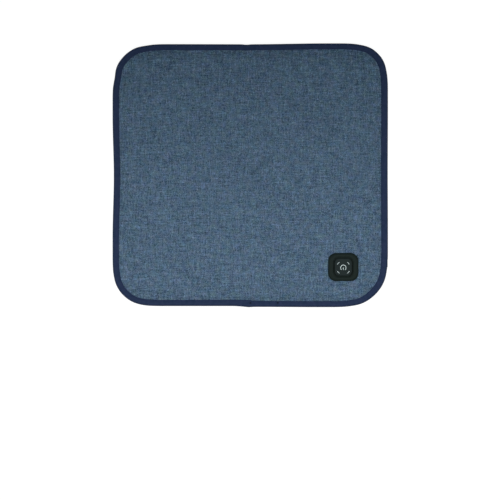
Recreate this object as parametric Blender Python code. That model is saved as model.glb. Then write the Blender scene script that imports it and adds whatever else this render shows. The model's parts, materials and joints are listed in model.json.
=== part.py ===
"""A heated seat cushion: a padded mat with a taped edge, a sewn-in heater and a push-button control unit.

The pad lies on its underside at z = 0, centred on the origin, with its rear edge towards +Y and its
control unit near the front right corner. It folds in half about a line along Y just under its middle,
and the left half is the one that turns. Each cloth and padding layer is therefore made in two halves
that meet at the fold. All sizes are in metres.
"""

from math import cos, exp, pi, sin

import bmesh
import bpy
from mathutils import Matrix, Vector

# The pad's outline, seen from above
PAD_WIDTH = 0.450
PAD_DEPTH = 0.4308
CORNER_FRONT_RIGHT = 0.072
CORNER_REAR_RIGHT = 0.056
CORNER_REAR_LEFT = 0.065
CORNER_FRONT_LEFT = 0.060
INNER_CORNER = 0.002

# How far the outline lies inside that rounded rectangle: where each corner runs into its two sides,
# in the middle of the left and right sides, along the front and rear of the left half, and at the fold
EASED_FRONT_RIGHT = 0.0010
EASED_REAR_RIGHT = 0.0013
EASED_REAR_LEFT = 0.0019
EASED_FRONT_LEFT = 0.0010
DRAWN_IN_LEFT = 0.0020
DRAWN_IN_RIGHT = 0.0003
SET_IN_FRONT_LEFT = 0.0018
SET_IN_REAR_LEFT = 0.0013
SET_IN_FOLD_FRONT = 0.0004
SET_IN_FOLD_REAR = 0.0015
FOLD_DRAW_SHARE = 0.75
SIDE_FREE_SHARE = 1 / 6

# The fold, and how finely the outline is drawn
FOLD_GAP = 0.0003
FOLD_AXIS_BELOW = 0.0003
STRAIGHT_STEPS = 4
SIDE_STEPS = 6
CORNER_STEPS = 8

# Thicknesses and fits, from the underside up
CLEARANCE = 0.0003
OVERRUN = 0.002
CLOTH = 0.0008
FOAM = 0.0035
FOIL = 0.0002
FELT = 0.0005
CROWN_HEIGHT = 0.0120
CROWN_ROLL = 0.011
CROWN_RING_SHARES = (0.25, 0.6, 1.1, 1.9, 3.2, 5.5, 9.0)
WADDING_RING_SHARES = (3.2, 9.0)

# Where each layer stops, measured in from the outline
COVER_INSET = 0.003
WADDING_INSET = 0.006
FOAM_INSET = 0.014
FOIL_INSET = 0.017
FELT_INSET = 0.020
WIRE_INSET = 0.027
UNDERSIDE_RAMP = 0.0022

# The edge binding, a folded tape
EDGE_HEIGHT = 0.0064
TAPE = 0.0008
TAPE_WIDTH = 0.0095
OUTER_TURN_STEPS = 6
INNER_TURN_STEPS = 4

# The heater wire and the leads
WIRE = 0.0014
WIRE_PITCH = 0.024
HEATER_FROM_FOLD = 0.018
HEATER_FROM_REAR = 0.034
HEATER_FROM_FRONT = 0.0485
HEATER_END_FROM_FRONT = 0.0654
HEATER_TO_CONTROL = 0.0095
LEAD_ROW_FROM_FRONT = 0.0315
LEAD_ROW_PITCH = 0.0055
LEAD_BEND = 0.012
LEAD_TURN = 0.004
CRIMP_LENGTH = 0.008
CRIMP_WIDTH = 0.0024
CRIMP_EDGE = 0.0002
SHORTEST_STEP = 0.0002
BEND_STEPS = 5

# The thermal cut-out and the temperature sensor
CUTOUT_LENGTH = 0.010
CUTOUT_WIDTH = 0.005
CUTOUT_HEIGHT = 0.0024
CUTOUT_EDGE = 0.0004
CUTOUT_FROM_CONTROL = 0.0166
SENSOR_LENGTH = 0.005
SENSOR_FROM_ROW = 0.0645
REAR_ROW_FROM_BASE = 0.0051

# The control unit, placed from the pad's right and front edges
CONTROL_FROM_SIDE = 0.0732
CONTROL_FROM_FRONT = 0.0653
UNIT_CORNER_STEPS = 7

# The bezel, a moulded shell with a rounded flank outside and a trench round the button
BEZEL_WIDTH = 0.0494
BEZEL_DEPTH = 0.0460
BEZEL_CORNER = 0.0125
BEZEL_LIP = 0.0006
BEZEL_HEIGHT = 0.0045
BEZEL_WALL = 0.0012
OPENING_WIDTH = 0.0330
OPENING_DEPTH = 0.0330
OPENING_CORNER = 0.0088
OPENING_EDGE = 0.0008
TRENCH_FLOOR = 0.0007
CREST_SHARE = 0.62
HOLLOW_SHOULDER_SHARE = 0.20
HOLLOW_OUTER_SHARE = 0.42
HOLLOW_INNER_SHARE = 0.82
FLANK_STEPS = 5
ROLL_STEPS = 3

# The button cap with its light diffuser
TRENCH_WIDTH = 0.0024
CAP_CORNER = 0.0080
CAP_TOP_BELOW_CREST = 0.0006
CAP_EDGE = 0.0009
CAP_DISH = 0.0005
CAP_RIM = 0.0028
CAP_FACE = 0.0012
STEM = 0.0060
STEM_CORNER = 0.0022
DIFFUSER = 0.0006
BUTTON_TRAVEL = 0.0008
APERTURE_UNDERCUT = 0.0026
DISH_STEPS = 4
EDGE_STEPS = 3

# The base, a tray that clamps the top cover against the bezel
FLANGE_SETBACK = 0.0021
TRAY_CORNER = 0.0050
TRAY_WALL = 0.0015
TRAY_FLOOR = 0.0012
TRAY_FLANGE = 0.0035
TRAY_FLANGE_THICKNESS = 0.0008
TRAY_BELOW_COVER = 0.0004
COVER_WINDOW_MARGIN = 0.0005
POCKET_MARGIN = 0.0006
NOTCH_HEIGHT = 0.0018

# The screws of the base and what they pass through
SCREW_FROM_WALL = 0.0032
SCREW_SHANK = 0.0020
SCREW_HEAD = 0.0038
SCREW_HEAD_HEIGHT = 0.0009
SCREW_BITE = 0.0021
STANDOFF = 0.0055
BOSS = 0.0046
BOARD_ABOVE_FLOOR = 0.0021
ROUND_STEPS = 14

# The circuit board and what is soldered to it
BOARD = 0.0010
BOARD_FIT = 0.0005
SWITCH = 0.0060
PLUNGER = 0.0034
WELL = 0.0040
WELL_FLOOR = 0.0003
PLUNGER_STOP_GAP = 0.0001
LIGHT_SIZE = 0.0016
LIGHT_HEIGHT = 0.0008
CORNER_LIGHT_REACH = 0.0078
LIGHT_FROM_SWITCH = 0.0018
CHIP_WIDTH = 0.0040
CONTROL_CHIP_DEPTH = 0.0050
TRANSISTOR_DEPTH = 0.0030
TRANSISTOR_PITCH = 0.0064
CHIP_HEIGHT = 0.0009
CHIP_EDGE = 0.0002
CHIP_FROM_BOARD_EDGE = 0.0032
TERMINAL_HEIGHT = 0.0013
TERMINAL_DEPTH = 0.0030
TERMINAL_MARGIN = 0.0018

# Where the leads enter the tray, measured from its middle
FRONT_ENTRY_OFFSET = -0.0010
FRONT_ENTRY_PITCH = 0.0055
REAR_ENTRY_REACH = 0.0060
SUPPLY_PITCH = 0.0030
SUPPLY_TO_STANDOFF = 0.00235
ENTRY_MARGIN = 0.0014
LEAD_END_INSIDE = 0.0052

# The power inlet, set in the edge seam beside the control unit
INLET_WIDTH = 0.0120
INLET_HEIGHT = 0.0039
INLET_CORNER = 0.0012
INLET_LENGTH = 0.0130
INLET_SETBACK = 0.0004
INLET_BOTTOM = 0.0003
SOCKET_WIDTH = 0.0075
SOCKET_HEIGHT = 0.0025
SOCKET_CORNER = 0.0008
SOCKET_LENGTH = 0.0060
SOCKET_WALL = 0.0003
SOCKET_RECESS = 0.0003
TONGUE_WIDTH = 0.0048
TONGUE_THICKNESS = 0.0006
TONGUE_SETBACK = 0.0008
TONGUE_EDGE = 0.0001
INLET_CORNER_STEPS = 3
SLOT_MARGIN = 0.0008

# Heights and places worked out from the sizes above
SEAM_BOTTOM = TAPE + CLEARANCE
SEAM_TOP = EDGE_HEIGHT - TAPE - CLEARANCE
COVER_RISE = TAPE_WIDTH + CLEARANCE
CORE_INSET = COVER_RISE + CROWN_ROLL * CROWN_RING_SHARES[-1]
FOAM_BOTTOM = CLOTH + CLEARANCE
FOAM_TOP = FOAM_BOTTOM + FOAM
FOIL_BOTTOM = FOAM_TOP + CLEARANCE
FOIL_TOP = FOIL_BOTTOM + FOIL
FELT_BOTTOM = FOIL_TOP + CLEARANCE
FELT_TOP = FELT_BOTTOM + FELT
WIRE_LEVEL = FELT_TOP + CLEARANCE + WIRE / 2
WADDING_FLOOR = WIRE_LEVEL + WIRE / 2 + CLEARANCE
FRONT = -PAD_DEPTH / 2
REAR = PAD_DEPTH / 2
HALF_WIDTH = PAD_WIDTH / 2
CONTROL_X = HALF_WIDTH - CONTROL_FROM_SIDE
CONTROL_Y = FRONT + CONTROL_FROM_FRONT
BEZEL_SEAT = CROWN_HEIGHT + CLEARANCE
BEZEL_CREST = BEZEL_SEAT + BEZEL_HEIGHT
TRENCH_TOP = BEZEL_SEAT + TRENCH_FLOOR
CAP_WIDTH = OPENING_WIDTH - 2 * TRENCH_WIDTH
CAP_DEPTH = OPENING_DEPTH - 2 * TRENCH_WIDTH
CAP_TOP = BEZEL_CREST - CAP_TOP_BELOW_CREST
CAP_BOTTOM = TRENCH_TOP + CLEARANCE + BUTTON_TRAVEL
POCKET_TOP = CAP_TOP - CAP_FACE
TRAY_WIDTH = BEZEL_WIDTH - 2 * (FLANGE_SETBACK + TRAY_FLANGE)
TRAY_DEPTH = BEZEL_DEPTH - 2 * (FLANGE_SETBACK + TRAY_FLANGE)
TRAY_TOP = CROWN_HEIGHT - CLOTH - TRAY_BELOW_COVER - CLEARANCE
TRAY_BOTTOM = FOAM_TOP + CLEARANCE
FLOOR_TOP = TRAY_BOTTOM + TRAY_FLOOR
BOARD_BOTTOM = FLOOR_TOP + BOARD_ABOVE_FLOOR
BOARD_TOP = BOARD_BOTTOM + BOARD
ON_BOARD = BOARD_TOP + CLEARANCE
PLUNGER_TOP = BEZEL_SEAT - CLEARANCE
PLUNGER_BOTTOM = ON_BOARD + WELL_FLOOR + PLUNGER_STOP_GAP + BUTTON_TRAVEL
SWITCH_TOP = PLUNGER_TOP - BUTTON_TRAVEL
SCREW_REACH_X = TRAY_WIDTH / 2 - TRAY_WALL - SCREW_FROM_WALL
SCREW_REACH_Y = TRAY_DEPTH / 2 - TRAY_WALL - SCREW_FROM_WALL
INLET_FROM_CONTROL = SCREW_REACH_Y - STANDOFF / 2 - SUPPLY_TO_STANDOFF - SUPPLY_PITCH / 2
INLET_Y = CONTROL_Y + INLET_FROM_CONTROL
INLET_FACE = HALF_WIDTH - INLET_SETBACK
INLET_BACK = INLET_FACE - INLET_LENGTH
INLET_LEVEL = INLET_BOTTOM + INLET_HEIGHT / 2
BEZEL_OUTLINE = (BEZEL_WIDTH, BEZEL_DEPTH, BEZEL_CORNER)
OPENING_OUTLINE = (OPENING_WIDTH, OPENING_DEPTH, OPENING_CORNER)
CAP_OUTLINE = (CAP_WIDTH, CAP_DEPTH, CAP_CORNER)
STEM_OUTLINE = (STEM, STEM, STEM_CORNER)
TRAY_OUTLINE = (TRAY_WIDTH, TRAY_DEPTH, TRAY_CORNER)
SOCKET_OUTLINE = (SOCKET_WIDTH, SOCKET_HEIGHT, SOCKET_CORNER)
FRONT_ENTRIES = tuple(FRONT_ENTRY_OFFSET + FRONT_ENTRY_PITCH * n for n in (-1, 0, 1))
SUPPLY_ENTRIES = tuple(INLET_FROM_CONTROL + SUPPLY_PITCH / 2 * n for n in (-1, 1))

RIGHT, LEFT = 1, -1
SIDE_NAMES = {RIGHT: "right", LEFT: "left"}


# Scene and materials


def clear_scene():
    for obj in list(bpy.data.objects):
        bpy.data.objects.remove(obj, do_unlink=True)


def finish(name, color, roughness, metallic=0.0):
    """A plain Principled material."""
    made = bpy.data.materials.new(name)
    made.use_nodes = True
    shader = made.node_tree.nodes["Principled BSDF"]
    shader.inputs["Base Color"].default_value = (*color, 1.0)
    shader.inputs["Roughness"].default_value = roughness
    shader.inputs["Metallic"].default_value = metallic
    made.diffuse_color = (*color, 1.0)
    return made


def make_finishes():
    return {
        "melange_cloth": finish("melange_cloth", (0.072, 0.115, 0.170), 0.9),
        "grip_cloth": finish("grip_cloth", (0.020, 0.022, 0.027), 0.85),
        "navy_tape": finish("navy_tape", (0.015, 0.026, 0.058), 0.85),
        "wadding": finish("wadding", (0.80, 0.80, 0.78), 1.0),
        "foam": finish("foam", (0.16, 0.16, 0.17), 0.95),
        "foil": finish("foil", (0.80, 0.80, 0.82), 0.25, 1.0),
        "felt": finish("felt", (0.62, 0.61, 0.58), 1.0),
        "heater_sheath": finish("heater_sheath", (0.35, 0.03, 0.02), 0.5),
        "lead_sheath": finish("lead_sheath", (0.02, 0.02, 0.022), 0.45),
        "black_moulding": finish("black_moulding", (0.017, 0.021, 0.019), 0.55),
        "cap_moulding": finish("cap_moulding", (0.020, 0.025, 0.023), 0.5),
        "tray_moulding": finish("tray_moulding", (0.03, 0.03, 0.032), 0.5),
        "diffuser": finish("diffuser", (0.85, 0.87, 0.88), 0.35),
        "board": finish("board", (0.01, 0.11, 0.05), 0.4),
        "black_resin": finish("black_resin", (0.012, 0.012, 0.013), 0.45),
        "light": finish("light", (0.82, 0.80, 0.62), 0.3),
        "tinned_metal": finish("tinned_metal", (0.62, 0.62, 0.60), 0.3, 1.0),
        "steel": finish("steel", (0.45, 0.45, 0.46), 0.35, 1.0),
        "inlet_rubber": finish("inlet_rubber", (0.014, 0.014, 0.015), 0.6),
        "contact": finish("contact", (0.80, 0.58, 0.22), 0.3, 1.0),
    }


def make_axis(name, place):
    """An empty on a joint's axis, which carries what turns or slides there."""
    axis = bpy.data.objects.new(name, None)
    axis.location = place
    bpy.context.scene.collection.objects.link(axis)
    return axis


def add_piece(name, data, material, axis=None):
    """Links one named object, carried by an axis empty where it moves."""
    obj = bpy.data.objects.new(name, data)
    bpy.context.scene.collection.objects.link(obj)
    data.materials.append(material)
    if axis is not None:
        obj.parent = axis
        obj.matrix_parent_inverse = Matrix.Translation(-axis.location)
    return obj


def mesh_of(name, bm, smooth_angle=pi / 6):
    """Turns a bmesh into a mesh with its faces out and its round parts smooth."""
    bmesh.ops.recalc_face_normals(bm, faces=bm.faces)
    mesh = bpy.data.meshes.new(name)
    bm.to_mesh(mesh)
    bm.free()
    mesh.shade_smooth()
    mesh.set_sharp_from_angle(angle=smooth_angle)
    return mesh


def change_shape(obj, helper, operation):
    """Cuts a helper from a piece, or joins it to the piece."""
    change = obj.modifiers.new(helper.name, "BOOLEAN")
    change.operation = operation
    change.solver = "EXACT"
    change.object = helper


def add_helper(name, bm):
    """A shape that only cuts or joins other pieces."""
    obj = bpy.data.objects.new(name, mesh_of(name, bm))
    bpy.context.scene.collection.objects.link(obj)
    obj.hide_render = True
    obj.display_type = "WIRE"
    return obj


# Lofts, blocks, rounds and wires


def rounded_rectangle(width, depth, corner, steps):
    """The points of a rounded rectangle about the origin, corner by corner."""
    points = []
    for turn, (right, up) in enumerate(((1, 1), (-1, 1), (-1, -1), (1, -1))):
        middle = Vector((right * (width / 2 - corner), up * (depth / 2 - corner)))
        for step in range(steps + 1):
            angle = (turn + step / steps) * pi / 2
            points.append(middle + corner * Vector((cos(angle), sin(angle))))
    return points


def grown(outline, by):
    """An outline's width, depth and corner radius, grown by a length on every side."""
    width, depth, corner = outline
    return width + 2 * by, depth + 2 * by, corner + by


def unit_ring(outline, level):
    """A level rounded rectangle about the control unit's middle."""
    points = rounded_rectangle(*outline, UNIT_CORNER_STEPS)
    return [Vector((CONTROL_X + p.x, CONTROL_Y + p.y, level)) for p in points]


def inlet_ring(outline, x):
    """An upright rounded rectangle about the power inlet's middle, facing the right edge."""
    points = rounded_rectangle(*outline, INLET_CORNER_STEPS)
    return [Vector((x, INLET_Y + p.x, INLET_LEVEL + p.y)) for p in points]


def loft(rings, closed=False):
    """Skins rings of equal count. An open loft gets a face on each end, and a closed one meets itself."""
    bm = bmesh.new()
    made = [[bm.verts.new(p) for p in ring] for ring in rings]
    pairs = list(zip(made, made[1:]))
    if closed:
        pairs.append((made[-1], made[0]))
    for lower, upper in pairs:
        for n in range(len(lower)):
            after = (n + 1) % len(lower)
            bm.faces.new((lower[n], lower[after], upper[after], upper[n]))
    if not closed:
        bm.faces.new(made[0])
        bm.faces.new(made[-1])
    return bm


def lofted(name, rings, material, closed=False, axis=None):
    return add_piece(name, mesh_of(name, loft(rings, closed)), material, axis)


def unit_prism(name, outline, bottom, top):
    """A helper with upright walls about the control unit's middle."""
    return add_helper(name, loft([unit_ring(outline, level) for level in (bottom, top)]))


def box_between(low, high, edge=0):
    """A box between two corners, with its edges taken off where asked."""
    bm = bmesh.new()
    size = [b - a for a, b in zip(low, high)]
    middle = [(a + b) / 2 for a, b in zip(low, high)]
    place = Matrix.Translation(middle) @ Matrix.Diagonal((*size, 1.0))
    corners = bmesh.ops.create_cube(bm, size=1.0, matrix=place)["verts"]
    if edge:
        sides = {side for corner in corners for side in corner.link_edges}
        bmesh.ops.bevel(bm, geom=list(sides), offset=edge, segments=1, affect="EDGES")
    return bm


def block(name, low, high, edge, material, axis=None):
    return add_piece(name, mesh_of(name, box_between(low, high, edge)), material, axis)


def add_round(bm, x, y, bottom, top, diameter, steps=ROUND_STEPS):
    """Adds an upright cylinder to a shape."""
    place = Matrix.Translation((x, y, (bottom + top) / 2))
    bmesh.ops.create_cone(
        bm,
        cap_ends=True,
        segments=steps,
        radius1=diameter / 2,
        radius2=diameter / 2,
        depth=top - bottom,
        matrix=place,
    )


def rounded_path(corners, radius):
    """A path through corner points with each bend turned to an arc, limited by the runs beside it."""
    corners = [Vector(c) for c in corners]
    path = [corners[0]]
    for before, corner, after in zip(corners, corners[1:], corners[2:]):
        back, ahead = before - corner, after - corner
        turn = pi - back.angle(ahead)
        reach = min(radius * sin(turn / 2) / cos(turn / 2), back.length / 2, ahead.length / 2)
        bend = reach * cos(turn / 2) / sin(turn / 2)
        start = corner + back.normalized() * reach
        side = (ahead.normalized() + back.normalized()).normalized()
        centre = corner + side * (bend / cos(turn / 2))
        arm = start - centre
        across = (-back).normalized()
        for step in range(BEND_STEPS + 1):
            angle = turn * step / BEND_STEPS
            path.append(centre + arm * cos(angle) + across * bend * sin(angle))
    path.append(corners[-1])
    return [p for n, p in enumerate(path) if n == 0 or (p - path[n - 1]).length > SHORTEST_STEP]


def wire(name, path, material, axis=None):
    """A round wire along a path."""
    curve = bpy.data.curves.new(name, "CURVE")
    curve.dimensions = "3D"
    curve.bevel_depth = WIRE / 2
    curve.bevel_resolution = 1
    curve.use_fill_caps = True
    spline = curve.splines.new("POLY")
    spline.points.add(len(path) - 1)
    for point, place in zip(spline.points, path):
        point.co = (*place, 1.0)
    return add_piece(name, curve, material, axis)


# The outline of one half of the pad, and the layers inside it


def corner_points(x, y, radius, eased, heading):
    """Points round a corner's centre, a quarter turn from one heading, a little flatter at both ends."""
    points = []
    for step in range(CORNER_STEPS + 1):
        angle = step / CORNER_STEPS * pi / 2
        reach = radius - eased * cos(2 * angle) ** 2
        points.append((x + reach * cos(heading + angle), y + reach * sin(heading + angle)))
    return points


def near_fold(share):
    """How far the fold still draws the outline in at a share of the way from it to the corner."""
    return cos(min(share / FOLD_DRAW_SHARE, 1) * pi / 2) ** 2


def half_outline(side, inset):
    """Points along one half's outline, from the fold at the front round to the fold at the rear."""
    is_right = side == RIGHT
    front_radius = max((CORNER_FRONT_RIGHT if is_right else CORNER_FRONT_LEFT) - inset, INNER_CORNER)
    rear_radius = max((CORNER_REAR_RIGHT if is_right else CORNER_REAR_LEFT) - inset, INNER_CORNER)
    fading = 1 - inset / CORE_INSET
    front_eased = (EASED_FRONT_RIGHT if is_right else EASED_FRONT_LEFT) * fading
    rear_eased = (EASED_REAR_RIGHT if is_right else EASED_REAR_LEFT) * fading
    drawn_in = (DRAWN_IN_RIGHT if is_right else DRAWN_IN_LEFT) * fading
    front = FRONT + inset + (0 if is_right else SET_IN_FRONT_LEFT * fading)
    rear = REAR - inset - (0 if is_right else SET_IN_REAR_LEFT * fading)
    fold_front = FRONT + inset + SET_IN_FOLD_FRONT * fading
    fold_rear = REAR - inset - SET_IN_FOLD_REAR * fading
    outer = HALF_WIDTH - inset
    fold = FOLD_GAP / 2
    shares = [n / STRAIGHT_STEPS for n in range(STRAIGHT_STEPS)]
    points = []
    for share in shares:
        x = fold + (outer - front_radius - fold) * share
        points.append((x, front + (fold_front - front) * near_fold(share)))
    lowest = front + front_radius
    highest = rear - rear_radius
    points += corner_points(outer - front_radius, lowest, front_radius, front_eased, -pi / 2)
    for step in range(1, SIDE_STEPS):
        share = step / SIDE_STEPS
        drawn_share = min(max((share - SIDE_FREE_SHARE) / (1 - 2 * SIDE_FREE_SHARE), 0), 1)
        dip = drawn_in * sin(drawn_share * pi) ** 2
        points.append((outer - dip, lowest + (highest - lowest) * share))
    points += corner_points(outer - rear_radius, highest, rear_radius, rear_eased, 0)
    for share in reversed(shares):
        x = fold + (outer - rear_radius - fold) * share
        points.append((x, rear + (fold_rear - rear) * near_fold(share)))
    return [(side * x, y) for x, y in points]


def half_sheet(name, side, rings, material, axis):
    """One half of a layer. Each ring gives its inset, its lower level and its upper level, edge first."""
    bm = bmesh.new()
    lower, upper = [], []
    for inset, low, high in rings:
        outline = half_outline(side, inset)
        lower.append([bm.verts.new((x, y, low)) for x, y in outline])
        upper.append([bm.verts.new((x, y, high)) for x, y in outline])
    last = len(lower[0]) - 1
    for skin in (lower, upper):
        for outside, inside in zip(skin, skin[1:]):
            for n in range(last):
                bm.faces.new((outside[n], outside[n + 1], inside[n + 1], inside[n]))
        core = skin[-1]
        middle = bm.verts.new((side * (HALF_WIDTH - rings[-1][0]) / 2, 0, core[0].co.z))
        for n in range(last):
            bm.faces.new((core[n], core[n + 1], middle))
        bm.faces.new((core[last], core[0], middle))
    for n in range(last):
        bm.faces.new((lower[0][n], lower[0][n + 1], upper[0][n + 1], upper[0][n]))
    for end in (0, last):
        for n in range(len(rings) - 1):
            bm.faces.new((lower[n][end], lower[n + 1][end], upper[n + 1][end], upper[n][end]))
    bm.faces.new((lower[-1][0], lower[-1][last], upper[-1][last], upper[-1][0]))
    return add_piece(f"{name}_{SIDE_NAMES[side]}", mesh_of(name, bm), material, axis)


def crown_level(inset):
    """The height of the top cover's upper face: level under the tape, then rolling up to the crown."""
    if inset <= COVER_RISE:
        return SEAM_TOP
    return CROWN_HEIGHT - (CROWN_HEIGHT - SEAM_TOP) * exp(-(inset - COVER_RISE) / CROWN_ROLL)


def crown_insets(shares):
    return [COVER_RISE + CROWN_ROLL * share for share in shares]


def make_top_cover(side, material, axis):
    insets = [COVER_INSET, COVER_RISE, *crown_insets(CROWN_RING_SHARES)]
    rings = [(inset, crown_level(inset) - CLOTH, crown_level(inset)) for inset in insets]
    return half_sheet("top_cover", side, rings, material, axis)


def make_bottom_cover(side, material, axis):
    rings = [
        (COVER_INSET, SEAM_BOTTOM, SEAM_BOTTOM + CLOTH),
        (COVER_RISE, SEAM_BOTTOM, SEAM_BOTTOM + CLOTH),
        (COVER_RISE + UNDERSIDE_RAMP, 0, CLOTH),
        (CORE_INSET, 0, CLOTH),
    ]
    return half_sheet("bottom_cover", side, rings, material, axis)


def make_wadding(side, material, axis):
    """The wadding lies over the foam, foil, felt and wires, and is pinched thin in the seam."""
    seam = SEAM_BOTTOM + CLOTH + CLEARANCE
    steps = (
        (WADDING_INSET, seam),
        (COVER_RISE, seam),
        (FOAM_INSET - CLEARANCE, FOIL_BOTTOM),
        (FOIL_INSET - CLEARANCE, FELT_BOTTOM),
        (FELT_INSET - CLEARANCE, FELT_TOP + CLEARANCE),
        (WIRE_INSET - CLEARANCE, WADDING_FLOOR),
    )
    insets = [*steps, *((inset, WADDING_FLOOR) for inset in crown_insets(WADDING_RING_SHARES))]
    under_cover = CLOTH + CLEARANCE
    rings = [(inset, floor, crown_level(inset) - under_cover) for inset, floor in insets]
    return half_sheet("wadding", side, rings, material, axis)


def make_flat_layer(name, side, inset, bottom, top, material, axis):
    rings = [(inset, bottom, top), (CORE_INSET, bottom, top)]
    return half_sheet(name, side, rings, material, axis)


def binding_section():
    """The tape's cross-section as insets and levels: a U with a round back, open towards the pad."""
    middle = EDGE_HEIGHT / 2
    section = [(TAPE_WIDTH, EDGE_HEIGHT)]
    for step in range(OUTER_TURN_STEPS + 1):
        angle = pi * step / OUTER_TURN_STEPS
        section.append((middle - middle * sin(angle), middle + middle * cos(angle)))
    section.append((TAPE_WIDTH, 0))
    section.append((TAPE_WIDTH, TAPE))
    inner = middle - TAPE
    for step in range(INNER_TURN_STEPS, -1, -1):
        angle = pi * step / INNER_TURN_STEPS
        section.append((middle - inner * sin(angle), middle + inner * cos(angle)))
    section.append((TAPE_WIDTH, EDGE_HEIGHT - TAPE))
    return section


def make_edge_binding(side, material, axis):
    bm = bmesh.new()
    strands = []
    for inset, level in binding_section():
        strands.append([bm.verts.new((x, y, level)) for x, y in half_outline(side, inset)])
    for strand, after in zip(strands, [*strands[1:], strands[0]]):
        for n in range(len(strand) - 1):
            bm.faces.new((strand[n], strand[n + 1], after[n + 1], after[n]))
    bm.faces.new([strand[0] for strand in strands])
    bm.faces.new([strand[-1] for strand in strands])
    name = "edge_binding"
    return add_piece(f"{name}_{SIDE_NAMES[side]}", mesh_of(name, bm), material, axis)


# The heater and its leads


def column_places():
    """How far from the fold each run of heater wire lies: an even number of runs at one pitch."""
    span = HALF_WIDTH - WIRE_INSET - WIRE / 2 - HEATER_FROM_FOLD
    count = int(span / WIRE_PITCH) + 1
    count -= count % 2
    return [HEATER_FROM_FOLD + WIRE_PITCH * n for n in range(count)]


def lead_row(n):
    return FRONT + LEAD_ROW_FROM_FRONT + LEAD_ROW_PITCH * n


def heater_end_level():
    return FRONT + HEATER_END_FROM_FRONT


def rear_row():
    """The row behind the control unit in which the cut-out and the sensor's lead lie."""
    return CONTROL_Y + TRAY_DEPTH / 2 + TRAY_FLANGE + REAR_ROW_FROM_BASE


def cutout_place():
    return CONTROL_X + CUTOUT_FROM_CONTROL, rear_row()


def short_turn_level():
    """How near the control unit the heater's short runs come."""
    return CONTROL_Y + TRAY_DEPTH / 2 + TRAY_FLANGE + HEATER_TO_CONTROL


def is_beside_control(side, x):
    reach = TRAY_WIDTH / 2 + TRAY_FLANGE + WIRE_PITCH / 4
    return side == RIGHT and x > CONTROL_X - reach


def heater_corners(side):
    """The serpentine's corner points, from its outermost run to its innermost."""
    places = column_places()
    rear = REAR - HEATER_FROM_REAR
    front = FRONT + HEATER_FROM_FRONT
    outermost = places[-1]
    if side == RIGHT:
        x, y = cutout_place()
        corners = [(x + CUTOUT_LENGTH / 2 + CLEARANCE, y), (outermost, y)]
    else:
        corners = [(outermost, heater_end_level())]
    for n in range(len(places) - 1, 0, -2):
        outer, inner = places[n], places[n - 1]
        corners += [(outer, rear), (inner, rear)]
        if n > 1:
            turn = short_turn_level() if is_beside_control(side, inner) else front
            corners += [(inner, turn), (places[n - 2], turn)]
    corners.append((places[0], heater_end_level()))
    return [(side * x, y, WIRE_LEVEL) for x, y in corners]


def make_heater_wire(side, material, axis):
    path = rounded_path(heater_corners(side), WIRE_PITCH / 2)
    return wire(f"heater_wire_{SIDE_NAMES[side]}", path, material, axis)


def crimp_places(side):
    """Where heater wire and lead are joined: the upper end of each crimp, by its name."""
    places = column_places()
    ends = {"inner": places[0]}
    if side == LEFT:
        ends["outer"] = places[-1]
    return {name: (side * x, heater_end_level() - CLEARANCE) for name, x in ends.items()}


def make_crimps(side, material, axis):
    for end, (x, top) in crimp_places(side).items():
        low = (x - CRIMP_WIDTH / 2, top - CRIMP_LENGTH, WIRE_LEVEL - WIRE / 2)
        high = (x + CRIMP_WIDTH / 2, top, WIRE_LEVEL + WIRE / 2)
        block(f"lead_crimp_{SIDE_NAMES[side]}_{end}", low, high, CRIMP_EDGE, material, axis)


def level_path(corners, radius):
    return rounded_path([(x, y, WIRE_LEVEL) for x, y in corners], radius)


def below_crimp(place):
    return place[0], place[1] - CRIMP_LENGTH - CLEARANCE


def front_entry(n):
    """Where a lead ends that comes in through the tray's front wall."""
    return CONTROL_X + FRONT_ENTRIES[n], CONTROL_Y - TRAY_DEPTH / 2 + LEAD_END_INSIDE


def rear_entry(side):
    """Where a lead ends that comes in through the tray's rear wall."""
    return CONTROL_X + side * REAR_ENTRY_REACH, CONTROL_Y + TRAY_DEPTH / 2 - LEAD_END_INSIDE


def make_heater_leads_right(material):
    """From the cut-out and from the far end of the right heater to the control unit."""
    start = below_crimp(crimp_places(RIGHT)["inner"])
    end = front_entry(0)
    row = lead_row(2)
    long_lead = level_path([start, (start[0], row), (end[0], row), end], LEAD_TURN)
    x, y = cutout_place()
    beside_cutout = (x - CUTOUT_LENGTH / 2 - CLEARANCE, y)
    end = rear_entry(RIGHT)
    short_lead = level_path([beside_cutout, (end[0], y), end], LEAD_TURN)
    wire("heater_lead_inner", long_lead, material)
    wire("heater_lead_cutout", short_lead, material)


def make_fold_leads(side, material, axis):
    """The two leads that cross the fold to feed the left heater."""
    fold = side * FOLD_GAP / 2
    crimps = crimp_places(LEFT)
    for end, entry, row in (("inner", 1, lead_row(1)), ("outer", 2, lead_row(0))):
        if side == RIGHT:
            far, bend = front_entry(entry), LEAD_TURN
        else:
            far, bend = below_crimp(crimps[end]), LEAD_BEND
        path = level_path([(fold, row), (far[0], row), far], bend)
        wire(f"fold_lead_{SIDE_NAMES[side]}_{end}", path, material, axis)


def make_thermal_cutout(material):
    x, y = cutout_place()
    low = (x - CUTOUT_LENGTH / 2, y - CUTOUT_WIDTH / 2, FOAM_TOP + CLEARANCE)
    high = (x + CUTOUT_LENGTH / 2, y + CUTOUT_WIDTH / 2, FOAM_TOP + CLEARANCE + CUTOUT_HEIGHT)
    return block("thermal_cutout", low, high, CUTOUT_EDGE, material)


def cutout_room():
    """The window in foil and felt in which the cut-out lies on the foam."""
    x, y = cutout_place()
    side, front = CUTOUT_LENGTH / 2 + CLEARANCE, CUTOUT_WIDTH / 2 + CLEARANCE
    low = (x - side, y - front, FOAM_TOP + CLEARANCE / 2)
    high = (x + side, y + front, FELT_TOP + OVERRUN)
    return add_helper("cutout_room", box_between(low, high))


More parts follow.
